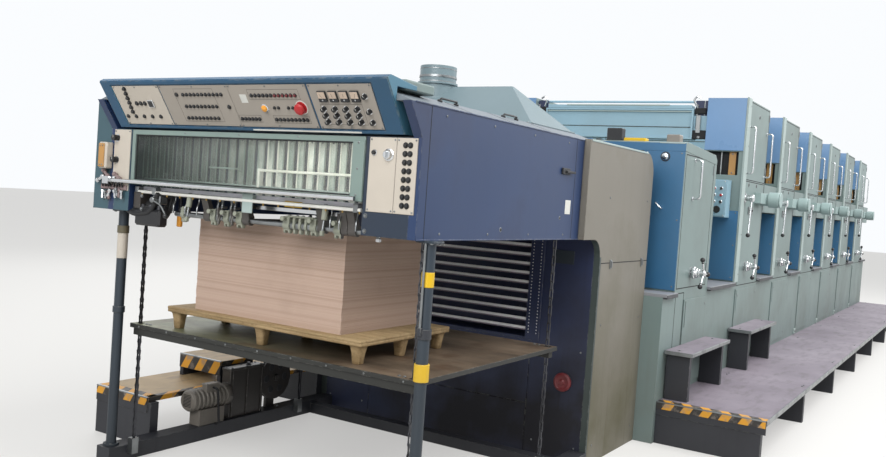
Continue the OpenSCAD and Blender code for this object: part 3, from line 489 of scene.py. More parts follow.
# %% Metal and plastic
def plain_material(name, colour, metallic=0.0, roughness=0.4):
    """A material whose uniform values sit on the shader, with its node tree and its shader."""
    made, tree, shader = new_material(name, colour)
    shader.inputs["Base Color"].default_value = swatch(colour)
    shader.inputs["Metallic"].default_value = metallic
    shader.inputs["Roughness"].default_value = roughness
    return made, tree, shader


def build_handled():
    """Colour, roughness and height of a surface with fine scratches and oily smudges."""
    tree, given, result = new_group("handled", [
        ("Base", "NodeSocketColor", (0.5, 0.5, 0.5, 1)), ("Oil", "NodeSocketColor", (0.1, 0.08, 0.06, 1)),
        ("Roughness", "NodeSocketFloat", 0.3), ("Smudge", "NodeSocketFloat", 0.3),
        ("Scale", "NodeSocketFloat", 40.0)],
        [("Color", "NodeSocketColor"), ("Roughness", "NodeSocketFloat"), ("Height", "NodeSocketFloat")])
    place = add_node(tree, "TexCoord").outputs["Object"]
    fine = add_node(tree, "TexNoise", Vector=place, Scale=given.outputs["Scale"], Detail=5.0).outputs["Fac"]
    broad = noise(tree, place, 7, 4)
    smudge = maths(tree, "MULTIPLY", ramp(tree, broad, 0.45, 0.7), given.outputs["Smudge"], clamp=True)
    tree.links.new(blend_colour(tree, smudge, given.outputs["Base"], given.outputs["Oil"]),
                   result.inputs["Color"])
    rough = maths(tree, "ADD", given.outputs["Roughness"], maths(tree, "MULTIPLY", fine, 0.12))
    rough = maths(tree, "ADD", rough, maths(tree, "MULTIPLY", smudge, 0.3), clamp=True)
    tree.links.new(rough, result.inputs["Roughness"])
    tree.links.new(fine, result.inputs["Height"])
    return tree


HANDLED = build_handled()


def handled(name, colour, oil="#2b2721", metallic=1.0, roughness=0.25, smudge=0.3):
    """A material with scratches and smudges: bare metal, or plastic where metallic is 0."""
    made, tree, shader = plain_material(name, colour, metallic, roughness)
    worn = add_node(tree, "Group", {"node_tree": HANDLED}, Base=swatch(colour), Oil=swatch(oil),
                    Roughness=roughness, Smudge=smudge)
    tree.links.new(worn.outputs["Color"], shader.inputs["Base Color"])
    tree.links.new(worn.outputs["Roughness"], shader.inputs["Roughness"])
    raised = add_node(tree, "Bump", Strength=0.1, Distance=0.001, Height=worn.outputs["Height"])
    tree.links.new(raised.outputs[0], shader.inputs["Normal"])
    return made


def plastic(name, colour, oil, roughness, smudge):
    """A handled surface without metal."""
    return handled(name, colour, oil, 0.0, roughness, smudge)


CHROME = handled("chrome", "#d4d6d8", roughness=0.12, smudge=0.15)
STEEL = handled("ground_steel", "#8e9192", roughness=0.3, smudge=0.45)
CHAIN_STEEL = handled("chain_steel", "#55565a", "#1d1a16", roughness=0.4, smudge=0.7)
BLACK = plastic("black_plastic", "#1b1c1f", "#3a3936", 0.38, 0.3)
RED = plastic("red_plastic", "#b5262a", "#6a1b1c", 0.35, 0.2)
DARK_RED = plastic("dark_red_plastic", "#6e2226", "#35181a", 0.35, 0.4)
AMBER = plastic("amber_lamp", "#f0a43c", "#a86a2a", 0.25, 0.1)
WHITE_PLASTIC = plastic("white_plastic", "#d8d8d2", "#8f8d84", 0.4, 0.25)
# Pure white: a painted highlight that stands for the sheen of the grille's folded metal lips
SLAT_LIPS_PAINTED_SHEEN = plastic("slat_lips_painted_sheen", "#ffffff", "#9d98a4", 0.25, 0.25)
RAIL_WHITE = plastic("rail_white", "#f2f1ea", "#a9a79c", 0.35, 0.2)
PINK_GREY = plastic("pinkish_plastic", "#857372", "#463a39", 0.35, 0.35)
BRASS = handled("brass", "#a58950", "#4c3b1c", roughness=0.35, smudge=0.4)
HOSE_BLACK = plastic("black_hose", "#18191b", "#2d2c2a", 0.55, 0.4)
METER_FACE = plastic("meter_face", "#cdb9a6", "#8a7667", 0.45, 0.3)
# Near-black for dark joint lines, and painted shade in holes and niches
DARK_JOINT_AND_SHADE = plastic("dark_joint_and_painted_shade", "#101114", "#1c1b19", 0.7, 0.4)
print("metal and plastic finishes made")


# %% Paper, wood, tread plate and stripes
def finish_from(name, build, roughness=0.6, metallic=0.0, bump=0.3, depth=0.001):
    """A material whose colour and height come from build(tree, place)."""
    made, tree, shader = plain_material(name, "#808080", metallic, roughness)
    place = add_node(tree, "TexCoord").outputs["Object"]
    colour, height = build(tree, place)
    tree.links.new(colour, shader.inputs["Base Color"])
    raised = add_node(tree, "Bump", Strength=bump, Distance=depth, Height=height)
    tree.links.new(raised.outputs[0], shader.inputs["Normal"])
    return made


def paper_edges(tree, place):
    """Thin layers across the height, broader bands and a few stains."""
    thin = noise(tree, place, 4, 3, (0.01, 0.01, 150))
    broad = noise(tree, place, 1.6, 2, (0.02, 0.02, 30))
    stain = noise(tree, place, 2.5, 4)
    colour = blend_colour(tree, ramp(tree, thin, 0.3, 0.7), swatch("#b0978a"), swatch("#c4ac9a"))
    colour = blend_colour(tree, ramp(tree, broad, 0.48, 0.70), colour, swatch("#a68d7b"))
    dark = maths(tree, "MULTIPLY", ramp(tree, stain, 0.5, 0.7), 0.25)
    return blend_colour(tree, dark, colour, swatch("#8a7565")), thin


def wood_fibres(tree, place):
    """Short coarse fibres over longer streaks."""
    long = noise(tree, place, 9, 6, (0.5, 3, 3), 0.65)
    short = noise(tree, place, 70, 3)
    colour = blend_colour(tree, ramp(tree, long, 0.3, 0.7), swatch("#826c49"), swatch("#ad946e"))
    dark = maths(tree, "MULTIPLY", ramp(tree, short, 0.55, 0.75), 0.5)
    return blend_colour(tree, dark, colour, swatch("#5c482c")), maths(tree, "ADD", long, short)


def board_steel(tree, place):
    """Worn steel that turns from green to brown across the board, with rust."""
    worn = noise(tree, place, 2.2, 7, (1, 2.2, 1), 0.65)
    fine = noise(tree, place, 45, 3)
    green = blend_colour(tree, ramp(tree, worn, 0.35, 0.68), swatch("#5e614a"), swatch("#8a8c6c"))
    brown = blend_colour(tree, ramp(tree, worn, 0.35, 0.68), swatch("#4b4034"), swatch("#7e6d5b"))
    across = add_node(tree, "SeparateXYZ", Vector=place).outputs["X"]
    colour = blend_colour(tree, ramp(tree, across, -0.7, 0.5), green, brown)
    rust = maths(tree, "MULTIPLY", ramp(tree, noise(tree, place, 5, 5), 0.52, 0.68), 0.75)
    return blend_colour(tree, rust, colour, swatch("#523d2c")), fine


def tread_plate(dull, pale):
    """The build of a tread plate between two colours."""
    def build(tree, place):
        worn = noise(tree, place, 1.3, 6, roughness=0.62)
        cells = add_node(tree, "TexVoronoi", {"feature": "F1"}, Vector=place, Scale=42.0).outputs["Distance"]
        scuff = noise(tree, place, 6, 5, (2.4, 0.7, 1))
        colour = blend_colour(tree, ramp(tree, worn, 0.35, 0.7), swatch(dull), swatch(pale))
        dark = maths(tree, "MULTIPLY", ramp(tree, scuff, 0.5, 0.75), 0.5)
        return blend_colour(tree, dark, colour, swatch("#55514f")), ramp(tree, cells, 0.30, 0.16)

    return build


def hazard_stripes(tree, place):
    """Slanted dark and yellow stripes, worn in patches."""
    parts = add_node(tree, "SeparateXYZ", Vector=place).outputs
    slanted = maths(tree, "ADD", parts["X"], maths(tree, "MULTIPLY", parts["Z"], -0.6))
    slanted = maths(tree, "ADD", slanted, maths(tree, "MULTIPLY", parts["Y"], 0.6))
    repeat = maths(tree, "FRACT", maths(tree, "MULTIPLY", slanted, 7.5))
    band = ramp(tree, repeat, 0.49, 0.51)
    worn = ramp(tree, noise(tree, place, 16, 5), 0.52, 0.66)
    colour = blend_colour(tree, band, swatch("#2a2724"), swatch("#d99a2b"))
    return blend_colour(tree, maths(tree, "MULTIPLY", worn, 0.7), colour, swatch("#8b8076")), worn


PAPER = finish_from("paper", paper_edges, 0.8, bump=0.35)
WOOD = finish_from("moulded_wood", wood_fibres, 0.75, bump=0.5, depth=0.002)
BOARD = finish_from("board_steel", board_steel, 0.5, 0.25)
TREAD = finish_from("tread_plate", tread_plate("#7a717b", "#978e98"), 0.55, 0.1, bump=0.4, depth=0.0015)
TREAD_TAN = finish_from("tread_tan", tread_plate("#99835f", "#bb9f78"), 0.55, 0.1, bump=0.4, depth=0.0015)
HAZARD = finish_from("hazard_stripes", hazard_stripes, 0.55)
print("paper, wood, board, tread and stripe finishes made")


# %% Clear guard and air strips
def clear_plastic(name, tint, roughness):
    """A see-through plastic that keeps a plain transmission weight, darkened towards the drive side as
    painted shade.
    """
    made, tree, shader = plain_material(name, tint, 0.0, roughness)
    shader.inputs["Transmission Weight"].default_value = 0.92
    shader.inputs["IOR"].default_value = 1.12
    place = add_node(tree, "TexCoord").outputs["Object"]
    across = add_node(tree, "SeparateXYZ", Vector=place).outputs["X"]
    smear = ramp(tree, noise(tree, place, 3.5, 5), 0.42, 0.70)
    # Painted shade: the tint darkens towards the drive side, where less light falls in
    painted_shade_tint = blend_colour(tree, ramp(tree, across, -0.80, 0.25), swatch("#8d9893"), swatch(tint))
    colour = blend_colour(tree, maths(tree, "MULTIPLY", smear, 0.4), painted_shade_tint, swatch("#ffffff"))
    tree.links.new(colour, shader.inputs["Base Color"])
    rough = maths(tree, "ADD", maths(tree, "MULTIPLY", smear, 0.25), roughness)
    tree.links.new(rough, shader.inputs["Roughness"])
    return made


GUARD_CLEAR = clear_plastic("guard_clear", "#f4f7f1", 0.05)


def air_strip(tree, place):
    """Cloudy plastic, paler towards the operator side as painted light where the light falls in."""
    across = add_node(tree, "SeparateXYZ", Vector=place).outputs["X"]
    cloud = noise(tree, place, 5, 4, (1, 1, 0.6))
    # Painted shade on the drive side and painted light on the operator side, mixed by the cloud
    dark = blend_colour(tree, ramp(tree, across, -0.60, 0.35), swatch("#222a28"), swatch("#8b9b93"))
    pale = blend_colour(tree, ramp(tree, across, -0.60, 0.30), swatch("#424d49"), swatch("#f4f5ee"))
    return blend_colour(tree, ramp(tree, cloud, 0.38, 0.68), dark, pale), noise(tree, place, 30, 2)


STRIP_CLOUD_AND_PAINTED_LIGHT = finish_from("air_strip", air_strip, 0.3)
print("clear finishes made")

# %% [markdown]
# ## Dressing the solids
# Every solid keeps its own shape and gets its finish here. Solids that a detailed mesh stands
# for are dressed too, because they come back whenever that mesh is taken away.

# %% Finishes of the solids
NODE_FINISH = {
    "floor_beams": FRAME_DARK, "front_posts": POST_BLUE, "hood_sides": SLATE, "hood_roof": ROOF_GREEN,
    "exhaust_cowl": COWL_TEAL, "front_cheeks": SLATE, "control_desk": DESK_BLUE, "control_plates": GREY_PLATE,
    "control_knobs": BLACK, "jogger_rail": SLAT_GREY, "jogger_shaft": STEEL, "jogger_clamps": CLAMP_GREEN,
    "air_strips": STRIP_CLOUD_AND_PAINTED_LIGHT, "hoist_chains": CHAIN_STEEL, "hoist_shafts": STEEL, "hoist_motor": MOTOR_GREY,
    "delivery_tower": NAVY, "slat_grille": SLAT_DARK, "side_covers": WARM_GREY, "low_unit": GREEN_GREY,
    "edge_posts": PALE_TRIM, "front_panels": BRIGHT_BLUE, "cross_beams": BEAM_TEAL, "door_grips": CHROME,
    "grip_feet": CHROME, "drive_drums": DRUM_GREY, "throw_levers": CHROME, "shelves": SHELF_GREY,
    "lower_panels": GREEN_GREY, "control_box": BEAM_TEAL, "gallery_decks": TREAD, "gallery_frame": FRAME_DARK,
    "footboards": TREAD, "feeder": GREEN_GREY, "pile_board": BOARD, "pallet": WOOD, "paper_pile": PAPER,
    "guard_frame": GUARD_GREY, "guard_pane": GUARD_CLEAR, "grip_bar": CHROME}
for number in range(7):
    NODE_FINISH[f"star_{number}"] = CHROME
    if number:
        NODE_FINISH[f"tower_{number}"] = GREEN_GREY
for name, finish in NODE_FINISH.items():
    mesh = nodes[name].data
    mesh.materials.clear()
    mesh.materials.append(finish)


def refinish(name, finish, wanted):
    """Gives another finish to the faces of a solid whose centre and normal are wanted."""
    mesh = nodes[name].data
    mesh.materials.append(finish)
    place = nodes[name].matrix_world
    for face in mesh.polygons:
        if wanted(place @ face.center, place.to_3x3() @ face.normal):
            face.material_index = len(mesh.materials) - 1


DARK_ARMS = (-0.345, -0.062, 0.435, 0.578, 0.622)  # places of the clamps' dark arms along x
refinish("control_plates", CREAM, lambda c, n: c.x < -0.508 or c.z < 1.905)
refinish("front_panels", HIGH_BLUE, lambda c, n: c.z > 2.2)
refinish("footboards", FRAME_DARK, lambda c, n: c.z < 0.634)
refinish("jogger_clamps", ARM_DARK, lambda c, n: min(abs(c.x - x) for x in DARK_ARMS) < 0.023)
refinish("front_cheeks", CHEEK_TEAL, lambda c, n: c.x < -0.8 and n.y < -0.5)
refinish("front_cheeks", CHEEK_DARK, lambda c, n: c.x > 0.7)
# The desk's end towards the operator side takes the lighter copy as painted light
refinish("control_desk", DESK_END_PAINTED_LIGHT, lambda c, n: n.x > 0.5)
refinish("side_covers", STRIP_GREEN, lambda c, n: n.y < -0.2 and c.z < 1.47)
# Faces of the board that do not look up go near-black as painted shade under and beside the board
refinish("pile_board", BOARD_EDGE_AND_SHADE, lambda c, n: n.z < 0.5)
refinish("gallery_decks", TREAD_TAN, lambda c, n: c.x < -1.1 and c.y < -0.4)
refinish("hoist_motor", OILY, lambda c, n: c.y > -1.515)
print(len(NODE_FINISH), "solids dressed")

# %% [markdown]
# ## Controls on the desk
# The desk carries rows of black and red push-buttons, fluted selector knobs, four meters and a
# mushroom stop button. The solids hold plain discs in the same places, so this piece stands for
# them. A button is a turned bezel with a domed cap set a little inside it, and the thin groove
# between the two makes buttons readable from afar.

# %% Places on the desk and the cheeks
DESK = spot(*DESK_FOOT) @ Matrix.Rotation(math.pi / 2 + DESK_LEAN, 4, "X")
DESK_PLATES = [(-0.870, -0.512), (-0.504, -0.018), (-0.016, 0.478), (0.490, 0.852)]
CHEEK_PLATES = [(-1.010, -0.875), (0.762, 0.910), (0.912, 1.022)]
CHEEK_PLATE_Z = (1.560, 1.896)
PLATE_T = 0.004


def on_desk(x, s):
    """The frame on a plate of the desk: X across, Y up the slope, Z outwards."""
    return DESK @ spot(x, s, PLATE_T)


def on_cheek(x, z, out=PLATE_T):
    """The frame on a cheek plate: X across, Y up, Z towards the front."""
    return facing_front(x, HOOD_Y - out, z)


# %% Buttons, knobs and screws
def add_button(bm, at, radius, height=0.009, cap=0, bezel=4):
    """Adds a push-button: a bezel and a domed cap."""
    add_turned(bm, [(1.3 * radius, 0), (1.3 * radius, 0.0025), (1.12 * radius, 0.0045),
                    (0.98 * radius, 0.0045), (0.98 * radius, 0.001)], at, 16, bezel)
    add_turned(bm, [(0.9 * radius, 0.0005), (0.9 * radius, 0.8 * height), (0.72 * radius, height),
                    (0, height + 0.0006)], at, 16, cap)


def add_selector(bm, at, radius, height=0.018):
    """Adds a fluted selector knob with a pointer line."""
    flutes = 12
    rim = zip(circle(4 * flutes, 0.86 * radius), circle(4 * flutes, radius))
    outline = [low if k % 4 == 0 else high for k, (low, high) in enumerate(rim)]
    add_turned(bm, [(1.35 * radius, 0), (1.35 * radius, 0.0015), (0, 0.0015)], at, 20, 4)
    add_plate(bm, outline, height, at @ spot(0, 0, 0.002))
    top = height + 0.002
    add_box(bm, (-0.0012, 0, top - 0.0005), (0.0012, 0.95 * radius, top + 0.0006), 0.0002, 3, at)


def add_screw(bm, at, radius=0.0045, mat=4, dark=0):
    """Adds a slotted cheese-head screw."""
    add_turned(bm, [(radius, 0), (radius, 0.0016), (0.75 * radius, 0.0024), (0, 0.0024)], at, 12, mat)
    add_box(bm, (-0.8 * radius, -0.0006, 0.0020), (0.8 * radius, 0.0006, 0.0026), 0.0001, dark, at)


def add_bolt(bm, at, radius=0.009, mat=0):
    """Adds a hexagon bolt head on a washer."""
    add_turned(bm, [(1.55 * radius, 0), (1.55 * radius, 0.0018), (1.2 * radius, 0.0020)], at, 14, mat)
    add_turned(bm, [(radius, 0.0018), (radius, 0.65 * radius), (0.85 * radius, 0.8 * radius),
                    (0, 0.8 * radius)], at, 6, mat)


# %% The desk's controls
controls = bmesh.new()
# Rows of buttons: the first one's place, how many there are, and their pitch
ROWS = [(-0.345, 0.200, 11, 0.027), (-0.355, 0.134, 9, 0.027), (-0.375, 0.068, 9, 0.027),
        (0.125, 0.195, 12, 0.025), (0.005, 0.068, 6, 0.023), (0.231, 0.067, 9, 0.024)]
LAST_BLACK = 5
for x, s, count, step in ROWS:
    for k in range(count):
        red = x == 0.125 and k > LAST_BLACK
        add_button(controls, on_desk(x + step * k, s), 0.0078, cap=6 if red else 0, bezel=0)
for x in (0.245, 0.270, 0.333, 0.360):
    add_button(controls, on_desk(x, 0.130), 0.0065, bezel=0)
for x, s in ((-0.392, 0.200), (-0.053, 0.132)):
    add_button(controls, on_desk(x, s), 0.009, bezel=0)
# Mushroom stop button on its pale collar, and the lamp beside it
stop_at = on_desk(0.415, 0.132)
add_turned(controls, [(0.031, 0), (0.031, 0.003), (0.022, 0.005), (0.013, 0.005), (0.013, 0.014),
                      (0.027, 0.015), (0.0285, 0.021), (0.024, 0.029), (0.012, 0.033), (0, 0.0335)],
           stop_at, 28, 1)
add_turned(controls, [(0.036, 0), (0.036, 0.0015), (0.030, 0.0018)], stop_at, 28, 3)
lamp_at = on_desk(0.185, 0.129)
add_turned(controls, [(0.021, 0), (0.021, 0.004), (0.017, 0.007)], lamp_at, 24, 4)
add_turned(controls, [(0.017, 0.004), (0.0165, 0.012), (0.011, 0.0165), (0, 0.018)], lamp_at, 24, 2)
# Four meters over three rows of selector knobs
for k in range(4):
    meter = on_desk(0.564 + 0.062 * k, 0.191)
    add_box(controls, (-0.024, -0.027, 0), (0.024, 0.027, 0.010), 0.002, 0, meter)
    add_box(controls, (-0.021, -0.008, 0.009), (0.021, 0.024, 0.0106), 0.0004, 5, meter)
    needle = meter @ spot(0, -0.003, 0.0106) @ Matrix.Rotation(0.5 - 0.3 * k, 4, "Z")
    add_box(controls, (-0.0006, 0, 0), (0.0006, 0.020, 0.0005), 0.0001, 0, needle)
    add_screw(controls, meter @ spot(0, -0.016, 0.010), 0.004)
    for s in (0.128, 0.095, 0.062):
        add_selector(controls, on_desk(0.548 + 0.064 * k, s), 0.011)
for s in (0.190, 0.115, 0.061):
    add_selector(controls, on_desk(0.802, s), 0.011, 0.014)
# Column, display and rows on the left plate
for k in range(6):
    add_button(controls, on_desk(-0.790 + 0.003 * k, 0.100 + 0.027 * k), 0.010, 0.012, bezel=0)
display = on_desk(-0.613, 0.149)
add_box(controls, (-0.021, -0.021, 0), (0.021, 0.021, 0.008), 0.0015, 4, display)
add_box(controls, (-0.017, -0.017, 0.0075), (0.017, 0.017, 0.0086), 0.0004, 0, display)
for k in range(3):
    add_button(controls, on_desk(-0.728 + 0.032 * k, 0.149), 0.010, bezel=0)
for k in range(5):
    add_button(controls, on_desk(-0.845 + 0.065 * k, 0.072), 0.009, bezel=0)
# Cheek plates: two tall knobs, the key switch, a button and eight pairs of buttons
for z in (1.849, 1.728):
    add_selector(controls, on_cheek(-0.985, z), 0.016, 0.030)
key_at = on_cheek(0.870, 1.819)
add_turned(controls, [(0.028, 0), (0.028, 0.003), (0.022, 0.006), (0.020, 0.020), (0.017, 0.023),
                      (0, 0.023)], key_at, 24, 4)
add_box(controls, (-0.0035, -0.014, 0.022), (0.0035, 0.014, 0.034), 0.001, 4, key_at)
add_button(controls, on_cheek(0.790, 1.827), 0.011, 0.014)
for k in range(8):
    for x in (0.958, 0.984):
        add_button(controls, on_cheek(x, 1.598 + 0.038 * k), 0.0105, 0.011, bezel=0)
desk_controls = piece(
    "desk_controls", controls, [BLACK, RED, AMBER, WHITE_PLASTIC, CHROME, METER_FACE, DARK_RED])
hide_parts("control_knobs")

# %% Screws and trim of the desk's plates
plate_trim = bmesh.new()
for left, right in DESK_PLATES:
    for x in (left + 0.010, (left + right) / 2, right - 0.010):
        for s in (0.031, 0.243):
            add_screw(plate_trim, on_desk(x, s), mat=0, dark=1)
for left, right in CHEEK_PLATES:
    for x in (left + 0.009, right - 0.009):
        for z in (CHEEK_PLATE_Z[0] + 0.010, CHEEK_PLATE_Z[1] - 0.010):
            add_screw(plate_trim, on_cheek(x, z), mat=0, dark=1)


def border(x0, y0, x1, y1, width):
    """The four strips inside the edge of a rectangle, each as x0, y0, x1, y1."""
    return ((x0, y0, x1, y0 + width), (x0, y1 - width, x1, y1),
            (x0, y0, x0 + width, y1), (x1 - width, y0, x1, y1))


# Thin printed frames round the groups of controls, with nothing written in them
FRAMES = [(-0.405, 0.048, -0.125, 0.232), (0.105, 0.172, 0.425, 0.226), (-0.012, 0.050, 0.135, 0.088),
          (0.215, 0.048, 0.440, 0.088), (0.530, 0.046, 0.770, 0.150)]
for frame_edges in FRAMES:
    for x0, s0, x1, s1 in border(*frame_edges, 0.0012):
        add_box(plate_trim, (x0, s0, PLATE_T - 0.001), (x1, s1, PLATE_T + 0.0003), 0.0001, 1, DESK)
# The blank white place beside the lamp
add_box(plate_trim, (0.045, 0.155, PLATE_T - 0.001), (0.088, 0.200, PLATE_T + 0.001), 0.0004, 2, DESK)
# Pale strip along the lower edge of the surround, over the guard's right half
add_box(plate_trim, (0.050, 0.0045, 0.0055), (0.720, 0.0125, 0.0075), 0.0008, 2, DESK)
piece("desk_trim", plate_trim, [STEEL, BLACK, WHITE_PLASTIC])

# %% [markdown]
# ## Guard and what shows through it
# The guard's pane sits in a rubber gasket. Behind it run pale rails and a light tube, and the
# pane itself stays clear enough to show them. The guard's own parts ride on the guard, so they
# swing with it. From here to the bracket box, y is measured from the hood's front.

# %% Guard gasket, corner plates and grips
GUARD_X = (-0.864, 0.734)
GUARD_Z = (1.600, 1.898)
BAR = 0.026
gasket = bmesh.new()
inner = (GUARD_X[0] + BAR, GUARD_Z[0] + BAR, GUARD_X[1] - BAR, GUARD_Z[1] - BAR)
for x0, z0, x1, z1 in border(*inner, 0.006):
    add_box(gasket, (x0, 0.006, z0), (x1, 0.019, z1), 0.002, 0)
CORNER_X = (GUARD_X[0] + 0.013, GUARD_X[1] - 0.013)
for x in (*CORNER_X, -0.45, -0.06, 0.33):
    add_screw(gasket, facing_front(x, 0, GUARD_Z[0] + 0.013), 0.005, 1, 0)
    if x not in CORNER_X:
        add_screw(gasket, facing_front(x, 0, GUARD_Z[1] - 0.011), 0.005, 1, 0)
piece("guard_gasket", gasket, [BLACK, STEEL], "guard", zero_y=HOOD_Y)

stile = bmesh.new()
add_box(stile, (0.664, -0.004, GUARD_Z[0] + 0.002), (0.732, 0.001, GUARD_Z[1] - 0.020), 0.0015, 0)
for z in (1.63, 1.75, 1.87):
    add_screw(stile, facing_front(0.698, -0.004, z), 0.005, 1, 2)
piece("guard_stile", stile, [GUARD_GREY, STEEL, BLACK], "guard", zero_y=HOOD_Y)

# %% Rails and light tube behind the guard
HIGH_RAIL_Z = 1.718
LOW_RAIL_Z = 1.636
TUBE_Z = 1.880
STRIPS = 24
STRIP_PITCH = 0.066
behind = bmesh.new()
for x0, x1, z, radius, mat in ((-0.305, -0.103, HIGH_RAIL_Z, 0.0045, 2), (0.050, 0.69, HIGH_RAIL_Z, 0.007, 0),
                               (-0.80, 0.70, LOW_RAIL_Z, 0.0045, 2)):
    add_rod(behind, (x0, 0.045, z), (x1, 0.045, z), radius, mat=mat)
for x in (0.050, 0.69):
    add_box(behind, (x - 0.008, 0.038, 1.592), (x + 0.008, 0.068, HIGH_RAIL_Z + 0.008), 0.002, 0)
for x, z in ((-0.300, HIGH_RAIL_Z), (-0.110, HIGH_RAIL_Z), (-0.792, LOW_RAIL_Z), (-0.400, LOW_RAIL_Z)):
    add_box(behind, (x - 0.004, 0.041, z - 0.004), (x + 0.004, 0.071, z + 0.004), 0.001, 2)
add_rod(behind, (0.05, 0.052, TUBE_Z), (0.66, 0.052, TUBE_Z), 0.011, mat=0)
for x in (0.04, 0.66):
    add_box(behind, (x, 0.036, TUBE_Z - 0.018), (x + 0.014, 0.074, TUBE_Z + 0.016), 0.002, 1)
# Thin frame round each clear strip, white as painted light where the light falls in, and a screw at its head
for k in range(STRIPS):
    x = -0.846 + STRIP_PITCH * k
    for edge, bright in ((x, x > 0.05), (x + 0.037, False)):
        wide, mat = (0.006, 0) if bright else (0.003, 2)
        add_box(behind, (edge, 0.064, 1.594), (edge + wide, 0.0702, 1.886), 0.0008, mat)
    add_turned(behind, [(0.005, 0), (0.005, 0.003), (0, 0.004)], facing_front(x + 0.020, 0.069, 1.866), 10, 1)
piece("guard_background", behind, [RAIL_WHITE, STEEL, PALE_TRIM], zero_y=HOOD_Y)

# %% [markdown]
# ## The sheet-stop mechanism
# Below the guard hang the clamps that stop and square the sheets. Each has a split hub with a
# clamping bolt, and between them sit collars, short air cylinders, springs and air nozzles. They
# are small turned and folded parts, so one function adds each kind and a list gives its places.

# %% Stations along the shaft
SHAFT_Y = 0.1063
SHAFT_Z = 1.457
RAIL_Z = 1.572
CLAMPS = [(-0.530, 0.024), (-0.300, 0.034), (-0.204, 0.034), (-0.110, 0.040), (0.212, 0.040),
          (0.262, 0.014), (0.300, 0.014), (0.338, 0.014), (0.385, 0.036), (0.535, 0.040)]
STRAPPED = (0.20, 0.40)


def add_spring(bm, start, end, radius, turns, wire):
    """Adds a coil spring between two places."""
    at = aim(start, end)
    coil = circle(10, radius) * turns + [(radius, 0)]
    rise = (Vector(end) - Vector(start)).length / (10 * turns)
    add_tube(bm, [at @ Vector((x, y, rise * k)) for k, (x, y) in enumerate(coil)], wire, 5)


# %% Collars, cylinders, springs and nozzles
mechanism = bmesh.new()
for x, width in CLAMPS:
    ear = SHAFT_Z + (0.048 if STRAPPED[0] < x < STRAPPED[1] else 0.044)
    add_bolt(mechanism, spot(x, SHAFT_Y + 0.002, ear), 0.006, 0)
    for side in SIDES:
        edge = x + side * (width / 2 + 0.006)
        add_rod(mechanism, (edge - 0.005, SHAFT_Y, SHAFT_Z), (edge + 0.005, SHAFT_Y, SHAFT_Z), 0.0215, mat=0)
for x in (-0.440, 0.485):
    # Short air cylinder hung from the rail, its rod and fork
    top, foot = (x, 0.050, RAIL_Z - 0.004), (x, 0.044, 1.500)
    add_rod(mechanism, top, foot, 0.015, 0.002, mat=1)
    add_rod(mechanism, (x, 0.050, RAIL_Z + 0.004), top, 0.009, mat=0)
    add_rod(mechanism, foot, (x, 0.036, 1.445), 0.005, mat=0)
    add_box(mechanism, (x - 0.009, 0.026, 1.425), (x + 0.009, 0.044, 1.450), 0.002, 1)
# Levers and return springs between the two left clamps
for x in (-0.268, -0.238, -0.172, -0.146):
    y = SHAFT_Y - 0.012
    add_spring(mechanism, (x, y, RAIL_Z + 0.002), (x, y - 0.008, SHAFT_Z + 0.018), 0.008, 12, 0.0019)
    add_rod(mechanism, (x, y, RAIL_Z + 0.004), (x, y - 0.010, SHAFT_Z + 0.006), 0.0035, mat=0)
for x, lean in ((-0.254, 0.020), (-0.222, -0.016), (-0.160, 0.024), (-0.132, -0.012)):
    top = Vector((x, SHAFT_Y - 0.030, SHAFT_Z + 0.058))
    foot = Vector((x + lean, SHAFT_Y - 0.040, SHAFT_Z - 0.030))
    add_box(mechanism, (-0.007, -0.003, 0), (0.007, 0.003, (foot - top).length), 0.002, 2, aim(top, foot))
    add_rod(mechanism, top + Vector((0, -0.006, 0)), top + Vector((0, 0.030, 0)), 0.006, mat=0)
# Hanging bracket, flat bar behind the shaft with its lugs, and the small painted stop
add_box(mechanism, (-0.040, 0.028, 1.500), (0.030, 0.035, 1.598), 0.002, 3)
for x in (-0.034, 0.014):
    add_box(mechanism, (x, 0.033, 1.574), (x + 0.010, 0.066, 1.590), 0.001, 3)
add_box(mechanism, (-0.090, 0.117, 1.520), (0.570, 0.123, 1.540), 0.001, 4)
for x in (-0.062, 0.435, 0.535):
    add_box(mechanism, (x - 0.008, 0.086, 1.484), (x + 0.008, 0.119, 1.536), 0.002, 2)
add_box(mechanism, (0.220, 0.054, 1.546), (0.330, 0.063, 1.576), 0.002, 5)
# Bright end of the shaft and its elbow
add_turned(mechanism, [(0.0142, 0), (0.0175, 0.002), (0.0175, 0.016), (0.012, 0.021), (0, 0.022)],
           aim((0.757, SHAFT_Y, SHAFT_Z), (0.9, SHAFT_Y, SHAFT_Z)), 20, 4)
add_turned(mechanism, [(0.012, 0), (0.0135, 0.002), (0.0135, 0.014), (0.0105, 0.016)],
           spot(0.764, SHAFT_Y, SHAFT_Z - 0.037), 20, 4)
for x in (-0.575, -0.485, -0.395, 0.470, 0.505, 0.560, 0.660):
    # Thin bent fingers that hold the sheets' leading edge
    bend = rounded_path([(x, 0.074, RAIL_Z + 0.002), (x, 0.074, 1.530), (x + 0.012, 0.050, 1.500),
                         (x + 0.012, 0.050, 1.462)], 0.012, 3)
    add_tube(mechanism, bend, 0.004, 7, 0)
piece("stop_mechanism", mechanism, [STEEL, CLAMP_GREEN, ARM_DARK, PALE_TRIM, CHROME, YELLOW],
      zero_y=HOOD_Y)

# %% Air pipe, long link rods and pulled blocks under the guard
PIPE_Z = 1.562
NOZZLES = 16
under_guard = bmesh.new()
add_rod(under_guard, (-0.84, 0.034, PIPE_Z), (0.71, 0.034, PIPE_Z), 0.009, mat=5)
add_rod(under_guard, (-0.62, 0.126, 1.560), (0.70, 0.126, 1.560), 0.012, mat=1)
for k in range(NOZZLES):
    x = -0.80 + 0.1 * k
    add_rod(under_guard, (x, 0.034, PIPE_Z), (x, 0.034, PIPE_Z - 0.019), 0.0045, sides=10, mat=2)
for x in (-0.84, -0.70, 0.68):
    add_box(under_guard, (x - 0.014, 0.024, 1.548), (x + 0.014, 0.064, 1.590), 0.003, 0)
